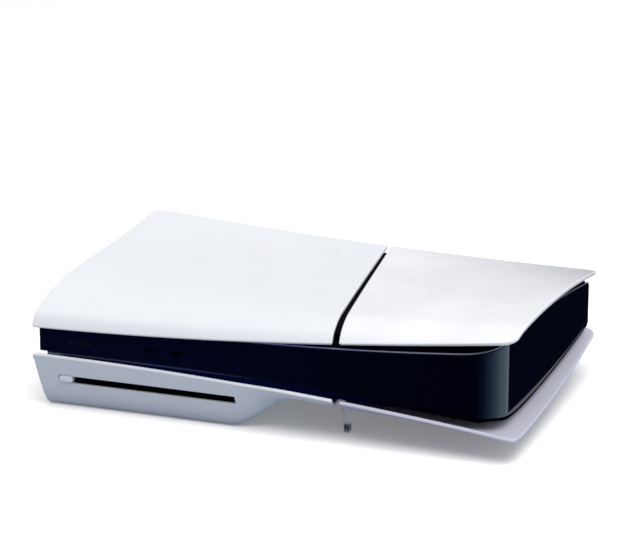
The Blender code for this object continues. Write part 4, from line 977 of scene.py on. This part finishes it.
def make_world():
    """A soft studio dome, dark below the horizon but for one panel the band's corner mirrors."""
    world = bpy.data.worlds.new("studio")
    world.use_nodes = True
    nodes = world.node_tree.nodes
    links = world.node_tree.links
    split = nodes.new("ShaderNodeSeparateXYZ")
    links.new(nodes.new("ShaderNodeTexCoord").outputs["Generated"], split.inputs["Vector"])

    def ramp(value, low, high, stops):
        """Colours over a value's range from low to high."""
        ranged = nodes.new("ShaderNodeMapRange")
        ranged.inputs["From Min"].default_value = low
        ranged.inputs["From Max"].default_value = high
        node = nodes.new("ShaderNodeValToRGB")
        fill_ramp(node, stops)
        links.new(value, ranged.inputs["Value"])
        links.new(ranged.outputs["Result"], node.inputs["Fac"])
        return node.outputs["Color"]

    def mix(kind, first, second):
        node = nodes.new("ShaderNodeMixRGB")
        node.blend_type = kind
        node.inputs["Fac"].default_value = 1.0
        links.new(first, node.inputs["Color1"])
        links.new(second, node.inputs["Color2"])
        return node.outputs["Color"]

    black = (0.0, 0.0, 0.0)
    white = (1.0, 1.0, 1.0)
    azimuth = nodes.new("ShaderNodeMath")
    azimuth.operation = "ARCTAN2"
    forward = nodes.new("ShaderNodeMath")
    forward.operation = "MULTIPLY"
    forward.inputs[1].default_value = -1.0
    links.new(split.outputs["Y"], forward.inputs[0])
    links.new(split.outputs["X"], azimuth.inputs[0])
    links.new(forward.outputs["Value"], azimuth.inputs[1])
    sky = ramp(split.outputs["Z"], 0.0, 1.0, SKY_STOPS)
    panel = ramp(azimuth.outputs["Value"], 0.0, math.pi, PANEL_STOPS)
    below = ramp(split.outputs["Z"], -0.06, 0.0, ((0.0, white), (1.0, black)))
    background = nodes["Background"]
    links.new(mix("ADD", sky, mix("MULTIPLY", panel, below)), background.inputs["Color"])
    background.inputs["Strength"].default_value = SKY_STRENGTH
    bpy.context.scene.world = world


def add_light(name, place, aim, size, power, colour):
    light = bpy.data.lights.new(name, "AREA")
    light.shape = "RECTANGLE"
    light.size, light.size_y = size
    light.energy = power
    light.color = colour
    lamp = bpy.data.objects.new(name, light)
    lamp.location = place
    lamp.rotation_euler = (Vector(place) - Vector(aim)).to_track_quat("Z", "Y").to_euler()
    bpy.context.scene.collection.objects.link(lamp)
    return lamp


def make_studio():
    """Camera, floor, sky and lights; one light is for the shown floor alone, to keep it white."""
    make_camera()
    floor = make_floor()
    make_world()
    lamps = {name: add_light(name, *settings) for name, settings in LIGHTS.items()}
    receivers = bpy.data.collections.new("floor_light_receivers")
    receivers.objects.link(floor)
    lamps["floor_light"].light_linking.receiver_collection = receivers
    bpy.context.scene.view_settings.view_transform = "Standard"


# ---------------------------------------------------------------- build

dress_cad_nodes()
make_cover("top_left_cover", "top_left_panel", "left_cover_body", True, True, "white_matte")
make_cover("top_right_cover", "top_right_panel", "right_cover_body", False, True, "white_gloss")
make_cover("lower_right_cover", "bottom_right_panel", "console", False, False,
           "white_lower_painted_shade")
make_drive_cover()
make_slot_felt()
make_band()
make_light_guides()
make_buttons()
make_power_symbol()
make_feet()
make_studio()
